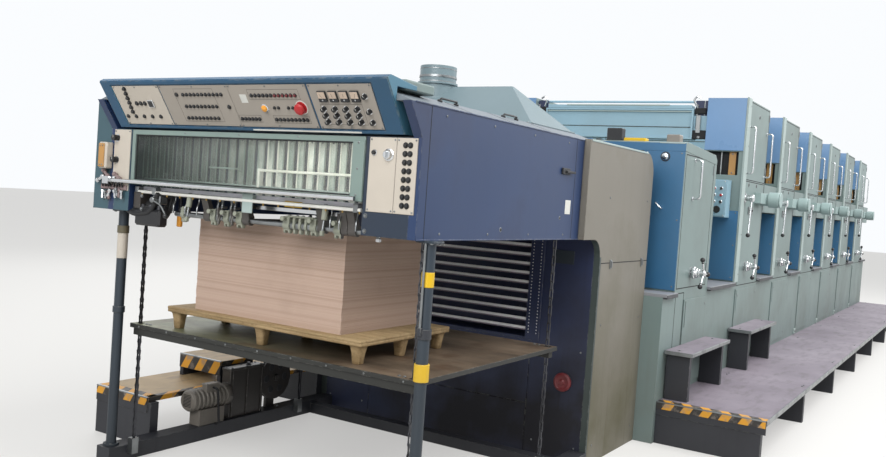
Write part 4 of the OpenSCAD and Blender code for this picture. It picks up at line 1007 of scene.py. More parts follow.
# Chain-case side: a bracket box, handwheel hub and lever
add_box(under_guard, (-0.855, 0.020, 1.468), (-0.800, 0.086, 1.560), 0.004, 3)
add_box(under_guard, (-0.700, 0.020, 1.500), (-0.640, 0.074, 1.548), 0.004, 0)
add_rod(under_guard, (-0.670, 0.020, 1.524), (-0.670, -0.012, 1.524), 0.016, 0.003, mat=0)
lever = rounded_path([(-0.670, -0.006, 1.524), (-0.600, -0.006, 1.500), (-0.560, -0.006, 1.452)], 0.02)
add_tube(under_guard, lever, 0.005, 8, 0)
add_turned(under_guard, [(0, -0.014), (0.010, -0.011), (0.014, 0), (0.010, 0.011), (0, 0.014)],
           spot(-0.558, -0.006, 1.444), 14, 4)
piece("under_guard", under_guard, [STEEL, CHAIN_STEEL, BRASS, OILY, BLACK, RAIL_WHITE],
      zero_y=HOOD_Y)

# %% Cable loom and orange cap at the chain-case side
loom = bmesh.new()
for k, (drop, back) in enumerate(((1.380, 0.085), (1.402, 0.070), (1.420, 0.098), (1.395, 0.110))):
    route = [(-0.872, 1.500), (-0.830, 1.440), (-0.735, drop), (-0.672, 1.430), (-0.650 + 0.012 * k, 1.566)]
    add_tube(loom, rounded_path([(x, back, z) for x, z in route], 0.04), 0.0075, 8, 0)
for k in range(7):
    route = [(-1.000 + 0.014 * k, 1.552), (-0.975 + 0.010 * k, 1.500 - 0.006 * k),
             (-0.850 - 0.012 * k, 1.432 + 0.011 * k), (-0.700, 1.452 + 0.012 * k),
             (-0.655 + 0.006 * k, 1.560)]
    add_tube(loom, rounded_path([(x, 0.018 + 0.011 * k, z) for x, z in route], 0.05), 0.0125, 10, 0)
add_box(loom, (-0.836, 0.014, 1.378), (-0.634, 0.082, 1.470), 0.012, 3)
for x in (-0.80, -0.735, -0.67):
    add_rod(loom, (x, 0.046, 1.466), (x, 0.046, 1.496), 0.015, 0.003, mat=1)
for x, z in ((-0.845, 1.466), (-0.664, 1.470)):
    add_box(loom, (x - 0.012, 0.058, z - 0.016), (x + 0.012, 0.122, z + 0.016), 0.003, 1)
add_box(loom, (-0.672, 0.088, 1.470), (-0.656, 0.104, 1.566), 0.002, 1)
# Orange cap on its pin, hung from a small plate
add_rod(loom, (-0.668, 0.190, 1.450), (-0.668, 0.190, 1.380), 0.016, 0.004, mat=2)
add_rod(loom, (-0.668, 0.190, 1.560), (-0.668, 0.190, 1.448), 0.010, mat=1)
add_box(loom, (-0.690, 0.082, 1.548), (-0.640, 0.204, 1.572), 0.002, 1)
piece("cable_loom", loom, [HOSE_BLACK, CHAIN_STEEL, AMBER, BLACK], zero_y=HOOD_Y)

# %% Couplings at the foot of the chain-case cheek
couplings = bmesh.new()
for k, (x, z, lean) in enumerate(((-1.085, 1.624, 0.02), (-1.040, 1.640, -0.03), (-0.990, 1.618, 0.02),
                                  (-0.945, 1.630, -0.02))):
    add_turned(couplings, [(0.008, 0), (0.014, 0.002), (0.014, 0.020), (0.009, 0.022), (0.009, 0.050),
                           (0.013, 0.052), (0.013, 0.070), (0.007, 0.074), (0, 0.074)],
               aim((x - 0.040, -0.016, z - lean), (x + 0.040, -0.022, z + lean)), 10, k % 2)
random.seed(5)
for k in range(8):
    x = -1.075 + 0.024 * k
    lean = random.uniform(-0.035, 0.035)
    drop = random.uniform(0.0, 0.022)
    add_turned(couplings, [(0.007, 0), (0.0095, 0.002), (0.0095, 0.014), (0.006, 0.016), (0.006, 0.028),
                           (0.0085, 0.030), (0.0085, 0.046), (0.005, 0.050), (0, 0.050)],
               aim((x, -0.015 - 0.006 * (k % 2), 1.574 - drop), (x + lean, -0.020, 1.494)),
               8, (0, 3, 1, 0)[k % 4])
    bends = [(x, -0.016, 1.578), (x + lean / 2, -0.026, 1.600), (x + 0.030, -0.022, 1.618)]
    add_tube(couplings, rounded_path(bends, 0.012), 0.005, 8, 2)
add_box(couplings, (-1.100, -0.012, 1.562), (-0.880, 0.001, 1.590), 0.003, 1)
piece("couplings", couplings, [CHROME, PINK_GREY, HOSE_BLACK, STEEL], zero_y=HOOD_Y)

# %% Bracket box on the chain-case side
bracket = bmesh.new()
add_box(bracket, (-1.088, -0.046, 1.676), (-1.020, 0.001, 1.822), 0.006, 0)
add_box(bracket, (-1.082, -0.052, 1.684), (-1.036, -0.045, 1.814), 0.003, 1)
for x in (-1.070, -1.048):
    for z in (1.696, 1.802):
        add_screw(bracket, facing_front(x, -0.052, z), 0.0045, 2, 1)
piece("bracket_box", bracket, [CREAM, TAN, STEEL], zero_y=HOOD_Y)

# %% [markdown]
# ## Posts, pile and board
# The operator-side post carries worn yellow bands and a clamp collar, and the other has a strip
# of pale tape. The pile is some sixty lifts of sheets, none quite flush with the next, which draws
# the straight fine lines of its sides. The pallet is pressed from wood chips: a thin deck with a
# rolled lip, hollow cups that become tapered legs, and ribs between them.

# %% Bands and collars on the posts
POST_X = 1.045
POST_Y = HOOD_Y + 0.115
POST_R = 0.028
bands = bmesh.new()
for x, low, high, thick, mat in ((POST_X, 1.242, 1.310, 0.0012, 0), (POST_X, 0.816, 0.896, 0.0072, 0),
                                 (-POST_X, 1.171, 1.318, 0.0012, 1), (-POST_X, 1.316, 1.358, 0.005, 4),
                                 (POST_X, 1.008, 1.054, 0.006, 2)):
    sleeve = [(POST_R - 0.001, low), (POST_R + thick, low), (POST_R + thick, high), (POST_R - 0.001, high)]
    add_turned(bands, sleeve, spot(x, POST_Y, 0), 32, mat)
rod_y = POST_Y - POST_R - 0.010
add_rod(bands, (POST_X, rod_y, 1.060), (POST_X, rod_y, 1.440), 0.006, mat=3)
add_box(bands, (POST_X - 0.010, rod_y - 0.008, 1.026), (POST_X + 0.010, rod_y + 0.010, 1.062), 0.002, 2)
for side in SIDES:
    for x, y in circle(4, 0.037, math.pi / 4):
        add_bolt(bands, spot(side * POST_X + x, POST_Y + y, 0.102), 0.004, 3)
piece("post_bands", bands, [YELLOW, CREAM, FRAME_DARK, STEEL, OLIVE])

# %% The pile of sheets
PALLET_X = (-0.760, 0.620)
PALLET_Y = (-2.270, -1.450)
PALLET_TOP = 0.925
SHEETS_LOW = Vector((-0.590, -2.220, 0))
SHEETS_HIGH = Vector((0.450, -1.520, 0))
PILE_TOP = 1.440
LIFTS = 64
random.seed(11)
pile = bmesh.new()
lift_h = (PILE_TOP - PALLET_TOP) / LIFTS
shift = Vector((0, 0, 0))
for k in range(LIFTS):
    shift = 0.8 * shift + Vector((random.uniform(-1, 1), random.uniform(-1, 1), 0)) * 0.0009
    foot = shift + Vector((0, 0, PALLET_TOP + lift_h * k))
    gap = Vector((0, 0, 0.0001 if k else 0))
    add_box(pile, SHEETS_LOW + foot + gap, SHEETS_HIGH + foot + Vector((0, 0, lift_h)), 0.0007)
sheets = piece("pile_of_sheets", pile, [PAPER], "pile_table")
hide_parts("paper_pile")


# %% The moulded pallet
def rounded_square(half, radius):
    """The outline of a square with rounded corners, counter-clockwise."""
    outline = []
    for k, (sx, sy) in enumerate(((1, 1), (-1, 1), (-1, -1), (1, -1))):
        for x, y in circle(16, radius, math.pi / 2 * k)[:5]:
            outline.append((sx * (half - radius) + x, sy * (half - radius) + y))
    return outline


LEG = [(0.020, 0.012, -0.105), (0.024, 0.014, -0.102), (0.028, 0.014, -0.055), (0.034, 0.016, -0.022),
       (0.046, 0.020, -0.004), (0.049, 0.022, 0.008)]  # half width, corner radius and height
moulded_bm = bmesh.new()
middle_x = (PALLET_X[0] + PALLET_X[1]) / 2
deck_z = PALLET_TOP - 0.020
leg_x = [middle_x + d for d in (-0.640, 0, 0.640)]
leg_y = [PALLET_Y[0] + d for d in (0.050, 0.410, 0.770)]
add_box(moulded_bm, (PALLET_X[0], PALLET_Y[0], deck_z + 0.004), (PALLET_X[1], PALLET_Y[1], PALLET_TOP), 0.006)
# Rolled lip under the rim
RIM = 0.014
for y in (PALLET_Y[0], PALLET_Y[1] - RIM):
    add_box(moulded_bm, (PALLET_X[0] + 0.002, y + 0.001, deck_z - 0.012),
            (PALLET_X[1] - 0.002, y + RIM, deck_z + 0.006), 0.004)
for x in (PALLET_X[0], PALLET_X[1] - RIM):
    add_box(moulded_bm, (x + 0.001, PALLET_Y[0] + 0.002, deck_z - 0.012),
            (x + RIM, PALLET_Y[1] - 0.002, deck_z + 0.006), 0.004)
# Tapered legs, and the ribs that join them
for x in leg_x:
    for y in leg_y:
        rings = [[moulded_bm.verts.new((x + dx, y + dy, deck_z + rise))
                  for dx, dy in rounded_square(half, radius)] for half, radius, rise in LEG]
        add_skin(moulded_bm, rings, 0, True)
for y in leg_y:
    add_box(moulded_bm, (PALLET_X[0] + 0.03, y - 0.009, deck_z - 0.018),
            (PALLET_X[1] - 0.03, y + 0.009, deck_z + 0.006), 0.005)
for x in leg_x + [middle_x - 0.32, middle_x + 0.32]:
    add_box(moulded_bm, (x - 0.009, PALLET_Y[0] + 0.03, deck_z - 0.018),
            (x + 0.009, PALLET_Y[1] - 0.03, deck_z + 0.006), 0.005)
moulded = piece("moulded_pallet", moulded_bm, [WOOD], "pile_table", 50)
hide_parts("pallet")

# %% Edge strip, bolts and lugs of the pile board
BOARD_HALF = 1.0
BOARD_Y = (-2.325, -0.815)
BOARD_TOP = 0.800
edging = bmesh.new()
for y0, y1 in ((BOARD_Y[0] - 0.003, BOARD_Y[0] + 0.001), (BOARD_Y[1] - 0.001, BOARD_Y[1] + 0.003)):
    add_box(edging, (-BOARD_HALF + 0.002, y0, BOARD_TOP - 0.023),
            (BOARD_HALF - 0.002, y1, BOARD_TOP - 0.001), 0.001, 0)
for k in range(9):
    add_screw(edging, facing_front(-0.92 + 0.23 * k, BOARD_Y[0] - 0.003, BOARD_TOP - 0.013), 0.005, 1, 2)
for y in (-2.290, -0.860):
    for side in SIDES:
        for x in (0.900, 0.870):
            add_bolt(edging, spot(side * x, y, BOARD_TOP), 0.007, 1)
piece("board_edging", edging, [BOARD_EDGE_AND_SHADE, STEEL, BLACK], "pile_table")

# %% [markdown]
# ## Hood, roof and side covers
# Sheet-metal housings show their make in the seams: a dark joint line, a folded edge that
# catches the light, hinges, latches and the screws beside them. Each seam here is a strip set a
# hair proud of the panel, narrow enough to read as a gap.

# %% Seams, edges and latch of the hood side
def add_seam(bm, start, end, width=0.004, mat=0, normal="X"):
    """Adds a dark joint line between two places on a face that looks along normal."""
    low = [min(a, b) for a, b in zip(start, end)]
    high = [max(a, b) for a, b in zip(start, end)]
    for axis in range(3):
        across = high[axis] - low[axis] < 1e-6
        grow = 0.0006 if axis == "XYZ".index(normal) else width / 2 if across else 0
        low[axis] -= grow
        high[axis] += grow
    add_box(bm, low, high, 0.0002, mat)


def add_ringed_hole(bm, rim, at, sides, mat, dark, depth=0.0010):
    """Adds a turned rim and, inside it at that height, a dark disc of painted shade that reads as a hole."""
    add_turned(bm, rim, at, sides, mat)
    add_turned(bm, [(rim[-1][0], depth), (0, depth)], at, sides, dark)


hood_trim = bmesh.new()
for side in SIDES:
    x = HOOD_HALF if side > 0 else -HOOD_HALF - 0.130
    for y in (-2.428, -0.835):
        add_seam(hood_trim, (x, y, HOOD_FOOT + 0.004), (x, y, HOOD_EDGE - 0.004))
    fold = HOOD_Y - 0.070 if side > 0 else HOOD_Y
    add_box(hood_trim, (x - 0.003, fold, HOOD_EDGE - 0.004),
            (x + 0.003, TOWER0_Y, HOOD_EDGE + 0.003), 0.002, 1)
    add_box(hood_trim, (x - 0.003, HOOD_Y, HOOD_FOOT - 0.001),
            (x + 0.003, TOWER0_Y - 0.12, HOOD_FOOT + 0.006), 0.002, 1)
    for y in (-2.300, -1.85, -1.40, -0.95):
        for z in (HOOD_FOOT + 0.030, HOOD_EDGE - 0.035):
            add_screw(hood_trim, facing_side(side, x, y, z), 0.006, 3, 0)
    for y, z, radius in ((-1.715, 1.503, 0.009), (-1.007, 1.576, 0.008)):
        rim = [(radius + 0.003, 0), (radius + 0.002, 0.0012), (radius, 0.0012)]
        add_ringed_hole(hood_trim, rim, facing_side(side, x, y, z), 16, 3, 0)
# Small white patch near the rear, and the latch with its folding tongue
for low, high, edge, mat in (((-0.001, -0.945, 1.600), (0.0015, -0.872, 1.682), 0.0006, 2),
                             ((-0.001, -1.030, 1.830), (0.012, -0.930, 1.866), 0.004, 4),
                             ((0.010, -0.990, 1.838), (0.022, -0.870, 1.852), 0.004, 4)):
    add_box(hood_trim, low, high, edge, mat, spot(HOOD_HALF, 0, 0))
piece("hood_trim", hood_trim, [DARK_JOINT_AND_SHADE, SLATE, WHITE_PLASTIC, STEEL, BLACK])

# %% Roof seams, handles and the step between desk and roof
ROOF_FLAT = 2.110
SLOPE_W = 0.180
SLOPE_LEN = 0.1897
ROOF_LEAN = math.atan2(0.060, SLOPE_W)
roof_trim = bmesh.new()
for y in (-2.05, -1.62, -1.17):
    seam_end = HOOD_HALF - SLOPE_W
    add_seam(roof_trim, (-seam_end, y, ROOF_FLAT), (seam_end, y, ROOF_FLAT), normal="Z")
    for side in SIDES:
        at = spot(side * HOOD_HALF, y, HOOD_EDGE) @ Matrix.Rotation(side * ROOF_LEAN, 4, "Y")
        x0, x1 = span(side, -SLOPE_LEN, 0)
        add_box(roof_trim, (x0, -0.002, -0.0006), (x1, 0.002, 0.0008), 0.0002, 0, at)
BAIL_HALF = 0.075
for side in SIDES:
    for y in (-2.06, -1.42):
        # Bail handle on the sloping strip
        lean = spot(side * 0.888, y, ROOF_FLAT - 0.006) @ Matrix.Rotation(side * ROOF_LEAN, 4, "Y")
        bail = rounded_path([(0, -BAIL_HALF, -0.004), (0, -BAIL_HALF, 0.014), (0, BAIL_HALF, 0.014),
                             (0, BAIL_HALF, -0.004)], 0.008, 4)
        add_tube(roof_trim, [lean @ point for point in bail], 0.005, 8, 1)
        for end in (-BAIL_HALF, BAIL_HALF):
            add_turned(roof_trim, [(0.013, -0.004), (0.013, 0.004), (0.009, 0.007), (0.004, 0.007)],
                       lean @ spot(0, end, 0), 12, 1)
    # Pale box between the desk's end and the roof
    add_mirrored(roof_trim, side, (0.780, HOOD_Y - 0.020, ROOF_FLAT - 0.004),
                 (0.950, HOOD_Y + 0.210, ROOF_FLAT + 0.042), 0.006, 2)
# Folded rim and rivets round the cowl's foot
COWL_Y = (-1.095, -0.495)
for y in COWL_Y:
    add_box(roof_trim, (-0.866, y - 0.006, ROOF_FLAT - 0.002),
            (0.866, y + 0.006, ROOF_FLAT + 0.008), 0.002, 3)
for x in (-0.860, 0.860):
    add_box(roof_trim, (x - 0.006, COWL_Y[0], ROOF_FLAT - 0.002),
            (x + 0.006, COWL_Y[1], ROOF_FLAT + 0.008), 0.002, 3)
for k in range(13):
    for y in (COWL_Y[0] - 0.004, COWL_Y[1] + 0.004):
        rivet = spot(-0.84 + 0.14 * k, y, ROOF_FLAT + 0.006)
        add_turned(roof_trim, [(0.005, 0), (0.004, 0.003), (0, 0.004)], rivet, 8, 4)
# Beads and clamp ring of the exhaust collar
for low, high, radius in ((2.392, 2.398, 0.1215), (2.420, 2.436, 0.1235), (2.474, 2.480, 0.1215)):
    add_turned(roof_trim, [(0.119, low), (radius, low + 0.001), (radius, high - 0.001), (0.119, high)],
               spot(0, -0.795, 0), 36, 4)
add_rod(roof_trim, (0.096, -0.895, 2.428), (0.132, -0.870, 2.428), 0.004, mat=4)
piece("roof_trim", roof_trim, [DARK_JOINT_AND_SHADE, BLACK, GREEN_GREY, COWL_TEAL, STEEL])

# %% Side covers: front strip, seam, clips and screws
COVER_X = 1.080
COVER_TOP = 2.056
COVER_FRONT = TOWER0_Y - 0.280
COVER_SEAM = 1.300
covers = bmesh.new()
for side in SIDES:
    x = COVER_X if side > 0 else COVER_X + 0.130
    add_mirrored(covers, side, (x - 0.036, COVER_FRONT - 0.002, HOOD_FOOT + 0.02),
                 (x + 0.002, COVER_FRONT + 0.003, COVER_TOP), 0.001, 4)
    add_seam(covers, (side * x, TOWER0_Y + 0.022, 0.02), (side * x, TOWER0_Y + 0.022, 1.34), 0.005, 1)
    add_mirrored(covers, side, (x - 0.001, TOWER0_Y - 0.003, 0.004),
                 (x + 0.003, TOWER0_Y + 0.018, HOOD_FOOT - 0.11), 0.001, 3)
    add_seam(covers, (side * x, TOWER0_Y, COVER_SEAM), (side * x, 0.444, COVER_SEAM), 0.006, 1)
    add_mirrored(covers, side, (x - 0.001, COVER_FRONT + 0.020, COVER_TOP - 0.007),
                 (x + 0.003, 0.300, COVER_TOP + 0.0055), 0.001, 0)
    for y in (-0.258, 0.330):
        add_mirrored(covers, side, (x - 0.001, y - 0.014, 1.262), (x + 0.007, y + 0.014, 1.320), 0.002, 2)
        add_mirrored(covers, side, (x + 0.005, y - 0.006, 1.270), (x + 0.015, y + 0.006, 1.312), 0.002, 2)
    for y in (TOWER0_Y + 0.10, 0.36):
        for z in (0.12, 0.9, 1.72):
            add_screw(covers, facing_side(side, side * x, y, z), 0.007, 2, 1)
piece("cover_trim", covers, [PALE_TRIM, DARK_JOINT_AND_SHADE, STEEL, STRIP_GREEN, WARM_GREY])

# %% Delivery tower's front: grille frame, folded slats' lips, knob and panel screws
GRILLE = 0.680
GRILLE_Z = (0.770, 1.420)
SLATS = 10
RIVETS = 30
tower_front = bmesh.new()
for x0, x1, z0, z1 in ((-GRILLE - 0.018, GRILLE + 0.018, GRILLE_Z[0] - 0.018, GRILLE_Z[0]),
                       (-GRILLE - 0.018, GRILLE + 0.018, GRILLE_Z[1], GRILLE_Z[1] + 0.016),
                       (-GRILLE - 0.018, -GRILLE, *GRILLE_Z), (GRILLE, GRILLE + 0.018, *GRILLE_Z)):
    add_box(tower_front, (x0, TOWER0_Y - 0.005, z0), (x1, TOWER0_Y + 0.001, z1), 0.0015, 0)
# The folded lips are pure white, a painted highlight for their sheen
for k in range(SLATS):
    z = 0.810 + 0.061 * k
    add_box(tower_front, (-GRILLE + 0.002, TOWER0_Y + 0.003, z + 0.008),
            (GRILLE - 0.002, TOWER0_Y + 0.008, z + 0.0245), 0.001, 1)
for side in SIDES:
    knob = facing_front(side * 0.895, TOWER0_Y - 0.018, 0.515)
    add_turned(tower_front, [(0.060, -0.012), (0.060, 0.002), (0.054, 0.008), (0.046, 0.010), (0.040, 0.006),
                             (0.020, 0.006), (0.014, 0.014), (0, 0.015)], knob, 32, 3)
    for z in (0.10, 0.72):
        for x in (0.700, 1.000):
            add_screw(tower_front, facing_front(side * x, TOWER0_Y, z), 0.006, 2, 4)
    # Cover strip over the grille's end
    add_mirrored(tower_front, side, (0.600, TOWER0_Y - 0.007, 0.750),
                 (0.702, TOWER0_Y + 0.001, 1.438), 0.002, 0)
# Two upright rows of small rivets, and a plain plate further out
for x in (0.622, 0.680):
    for k in range(RIVETS):
        rivet = facing_front(x, TOWER0_Y - 0.007, 0.80 + 0.021 * k)
        add_turned(tower_front, [(0.0035, 0), (0.003, 0.0012), (0, 0.0016)], rivet, 8, 1)
add_box(tower_front, (0.755, TOWER0_Y - 0.002, 1.275), (0.908, TOWER0_Y + 0.001, 1.362), 0.0008, 5)
piece("tower_front", tower_front, [NAVY, SLAT_LIPS_PAINTED_SHEEN, STEEL, DARK_RED, DARK_JOINT_AND_SHADE, POST_BLUE])

# %% [markdown]
# ## The printing line
# Every tower repeats the same furniture: doors with hinges and locks, a niche whose dark back is
# painted shade, with a tan plate and a rod, a cross beam with its levers and bolts, brass ink keys,
# and star handles and throw levers that end in black balls. Loops over the towers and both sides
# place them.

# %% Doors, hinges and joint lines of the tower sides
def on_side(side, y, z, out=0.0):
    """The frame on a unit's side: Z points out of the side."""
    return facing_side(side, side * (UNIT_HALF + out), y, z)


def side_box(bm, side, y, z, out, edge=0.001, mat=0):
    """Adds a block on a unit's side: y, z and out hold its low and high limits."""
    add_mirrored(bm, side, (UNIT_HALF + out[0], y[0], z[0]), (UNIT_HALF + out[1], y[1], z[1]), edge, mat)


def side_frame(bm, side, y, z):
    """Adds a dark joint line round a door on a unit's side."""
    for y0, z0, y1, z1 in border(y[0], z[0], y[1], z[1], 0.007):
        side_box(bm, side, (y0, y1), (z0, z1), (-0.001, 0.0008), 0.0002, 1)


doors = bmesh.new()
for start in TOWER_STARTS:
    rear = start + TOWER_LEN
    for side in SIDES:
        for heights in ((2.000, TOWER_H - 0.012), (1.030, 1.992)):
            side_frame(doors, side, (start + 0.128, rear - 0.006), heights)
        for z in (2.08, 2.60):
            side_box(doors, side, (rear - 0.028, rear - 0.014), (z, z + 0.07), (-0.001, 0.008), 0.003, 2)
        for y, z in ((0.515, 2.602), (0.60, 1.960), (0.30, 1.960)):
            rim = [(0.021, 0), (0.020, 0.0015), (0.016, 0.002)]
            add_ringed_hole(doors, rim, on_side(side, start + y, z), 18, 2, 1)
        # Plate with a row of four buttons over the drum
        side_box(doors, side, (start + 0.34, start + 0.50), (1.690, 1.760), (-0.001, 0.010), 0.003, 2)
        for k in range(4):
            add_button(doors, on_side(side, start + 0.375 + 0.030 * k, 1.725, 0.010), 0.008, 0.008, 1, 2)
for side in SIDES:
    side_frame(doors, side, (LOW_Y + 0.030, LOW_REAR - 0.070), (1.090, 2.090))
    side_frame(doors, side, (LOW_Y + 0.030, LOW_Y + 0.235), (0.340, 1.060))
    for z in (1.20, 1.98):
        side_box(doors, side, (LOW_REAR - 0.092, LOW_REAR - 0.078), (z, z + 0.07), (-0.001, 0.008), 0.003, 2)
piece("door_furniture", doors, [GREEN_GREY, DARK_JOINT_AND_SHADE, STEEL])

# %% Cap of the low unit, its lock and handle, and the small boxes on it
low_cap = bmesh.new()
cap_side = [(LOW_Y - 0.006, 2.108), (LOW_REAR - 0.004, 2.064), (LOW_REAR - 0.004, 2.100),
            (LOW_REAR - 0.050, 2.140), (LOW_Y + 0.030, 2.176), (LOW_Y - 0.006, 2.166)]
CAP_HALF = UNIT_HALF + 0.002
across = Matrix(((0, 0, 1, -CAP_HALF), (1, 0, 0, 0), (0, 1, 0, 0), (0, 0, 0, 1)))
add_plate(low_cap, cap_side, 2 * CAP_HALF, across)
add_box(low_cap, (-CAP_HALF, LOW_Y - 0.009, 2.104), (CAP_HALF, LOW_Y - 0.004, 2.165), 0.001, 1)
for side in SIDES:
    add_mirrored(low_cap, side, (1.024, LOW_Y - 0.010, 2.160),
                 (UNIT_HALF - 0.004, LOW_Y + 0.004, 2.172), 0.002, 2)
    lock = facing_front(side * 1.073, LOW_Y - 0.008, 2.063)
    add_turned(low_cap, [(0.037, 0), (0.036, 0.002), (0.029, 0.002)], lock, 24, 3)
    add_turned(low_cap, [(0.029, 0), (0.029, 0.010), (0.024, 0.018), (0.012, 0.021), (0, 0.0215)],
               lock, 24, 4)
    bends = ((1.030, 0.006, 1.720), (1.030, 0.026, 1.720), (1.076, 0.026, 1.680), (1.076, 0.006, 1.680))
    grip = rounded_path([(side * x, LOW_Y - out, z) for x, out, z in bends], 0.008)
    add_tube(low_cap, grip, 0.006, 8, 4)
for x0, x1, z0, z1, mat in ((0.582, 0.704, 2.150, 2.272, 3), (0.720, 0.894, 2.168, 2.200, 5),
                            (1.055, 1.156, 2.160, 2.232, 6)):
    add_box(low_cap, (x0, 0.750, z0), (x1, 0.830, z1), 0.006, mat)
    add_box(low_cap, (x0 + 0.012, 0.762, 2.150), (x1 - 0.012, 0.818, z0 + 0.004), 0.003, 3)
piece("low_unit_cap", low_cap, [GREEN_GREY, BRIGHT_BLUE, PALE_TRIM, BLACK, CHROME, YELLOW, MOTOR_GREY])

# %% Niches above the lower housings
niches = bmesh.new()
NICHE_X = (0.900, 1.180)
NICHE_Z = (2.030, 2.240)
for start in TOWER_STARTS:
    for side in SIDES:
        # Dark plate at the back of the niche: painted shade in the recess
        add_mirrored(niches, side, (NICHE_X[0] + 0.002, start + 0.060, NICHE_Z[0] + 0.002),
                     (NICHE_X[1] - 0.002, start + 0.069, NICHE_Z[1] - 0.002), 0.001, 0)
        # Upright tan plate in the outer part, with a screw at each end and a rod beside it
        add_mirrored(niches, side, (1.088, start + 0.040, NICHE_Z[0]),
                     (1.150, start + 0.048, NICHE_Z[1]), 0.002, 1)
        for z in (NICHE_Z[0] + 0.02, NICHE_Z[1] - 0.02):
            add_screw(niches, facing_front(side * 1.119, start + 0.040, z), 0.007, 2, 0)
        foot = Vector((side * 1.020, start + 0.045, NICHE_Z[0]))
        add_rod(niches, foot, foot + Vector((0, 0, NICHE_Z[1] - NICHE_Z[0])), 0.009, mat=2)
piece("niche_fittings", niches, [DARK_JOINT_AND_SHADE, TAN, STEEL])

# %% Cross beams: blocks, pins, levers and covers at the ends, and the bands between them
beams = bmesh.new()
for start in TOWER_STARTS:
    for side in SIDES:
        x0, x1 = span(side, 0.742, 0.866)
        add_box(beams, (x0, start - 0.004, 2.345), (x1, start + 0.024, 2.425), 0.004, 0)
        for z in (2.36, 2.41):
            add_bolt(beams, facing_front((x0 + x1) / 2, start - 0.004, z), 0.008, 1)
        add_rod(beams, (x0 + 0.03, start + 0.02, 2.44), (x0 + 0.03, start + 0.02, 2.66), 0.009, mat=1)
        add_rod(beams, (x1 - 0.03, start + 0.03, 2.44), (x1 - 0.03, start + 0.03, 2.70), 0.006, mat=1)
        add_box(beams, (x0 + 0.01, start + 0.005, 2.575), (x1 - 0.01, start + 0.06, 2.63), 0.005, 0)
        add_box(beams, (x0 + 0.010, start + 0.026, 2.345), (x1 - 0.004, start + 0.040, 2.700), 0.003, 6)
        # Bent chrome lever over the pins, and the greyish link that hangs from it
        bends = ((0.770, 0.010, 2.640), (0.740, -0.010, 2.700),
                 (0.770, -0.015, 2.738), (0.806, -0.010, 2.716))
        add_tube(beams, rounded_path([(side * x, start + y, z) for x, y, z in bends], 0.02), 0.010, 8, 2)
        add_mirrored(beams, side, (0.775, start - 0.012, 2.400), (0.815, start - 0.002, 2.560), 0.004, 1)
    # Band on the top flange with its pale edges, and the dark line at the flange's foot
    for half, y0, y1, z0, z1, edge, mat in ((0.725, -0.014, 0.100, 2.620, 2.654, 0.003, 3),
                                            (0.520, -0.017, 0.020, 2.645, 2.658, 0.002, 4),
                                            (0.728, -0.0165, -0.010, 2.588, 2.598, 0.001, 4),
                                            (0.728, -0.003, 0.002, 2.446, 2.454, 0.001, 5)):
        add_box(beams, (-half, start + y0, z0), (half, start + y1, z1), edge, mat)
piece("beam_fittings", beams, [DARK_JOINT_AND_SHADE, STEEL, CHROME, BEAM_TEAL, PALE_TRIM, STRIP_GREEN, NAVY])

# %% Ink keys along the ducts
KEYS_PER_DUCT = 30
KEY_PITCH = 0.058
keys = bmesh.new()
for start in TOWER_STARTS:
    for k in range(KEYS_PER_DUCT):
        x = -0.84 + KEY_PITCH * k
        add_turned(keys, [(0.011, 0), (0.011, 0.014), (0.007, 0.018), (0.007, 0.034), (0, 0.034)],
                   aim((x, start + 0.141, 2.229), (x, start + 0.100, 2.225)), 8)
piece("ink_keys", keys, [BRASS])

# %% Black balls of the star handles and levers
STAR_Y = 0.370
STAR_TURN = (25, 145, 265)
STAR_REACH = 0.118
LEVER_TURN = 172


def add_ball(bm, middle, radius):
    """Adds a ball."""
    profile = [(radius * y, -radius * x) for x, y in circle(20)[1:10]]
    add_turned(bm, [(0, -radius), *profile, (0, radius)], spot(*middle), 18)


def turned_up(degrees):
    """The direction on a unit's side that many degrees from upright, towards the delivery."""
    a = math.radians(degrees)
    return Vector((0, -math.sin(a), math.cos(a)))


for number, start in enumerate(UNIT_STARTS):
    star = bmesh.new()
    centre = Vector((UNIT_HALF + 0.098, start + STAR_Y, STAR_Z))
    for degrees in STAR_TURN:
        ball = centre + turned_up(degrees) * STAR_REACH
        add_ball(star, ball, 0.0188)
        add_turned(star, [(0.011, 0), (0.011, 0.006), (0.0085, 0.008)],
                   aim(centre + turned_up(degrees) * 0.090, ball), 12)
    hub = on_side(1, start + STAR_Y, STAR_Z)
    add_turned(star, [(0.030, 0.014), (0.047, 0.016), (0.048, 0.030), (0.040, 0.036), (0.038, 0.050),
                      (0.030, 0.058), (0.026, 0.066)], hub, 28, 1)
    add_turned(star, [(0.019, 0), (0.016, 0.004), (0, 0.0055)], hub @ spot(0, 0, 0.110), 18, 1)
    piece(f"star_balls_{number}", star, [BLACK, CHROME], f"star_handle_{number}")

levers = bmesh.new()
for start in TOWER_STARTS:
    hub = Vector((UNIT_HALF + 0.064, start + 0.190, DRUM_Z - 0.010))
    add_ball(levers, hub + 0.340 * turned_up(LEVER_TURN), 0.0198)
    add_turned(levers, [(0.046, 0), (0.046, 0.003), (0.041, 0.005)], on_side(1, hub.y, hub.z), 24, 1)
    for y, z in circle(3, 0.034):
        add_bolt(levers, on_side(1, hub.y + y, hub.z + z, 0.007), 0.0045, 1)
for start in UNIT_STARTS:
    for y, z in circle(4, 0.036, math.pi / 4):
        add_bolt(levers, on_side(1, start + STAR_Y + y, STAR_Z + z, 0.008), 0.003, 1)
piece("lever_balls", levers, [BLACK, STEEL])

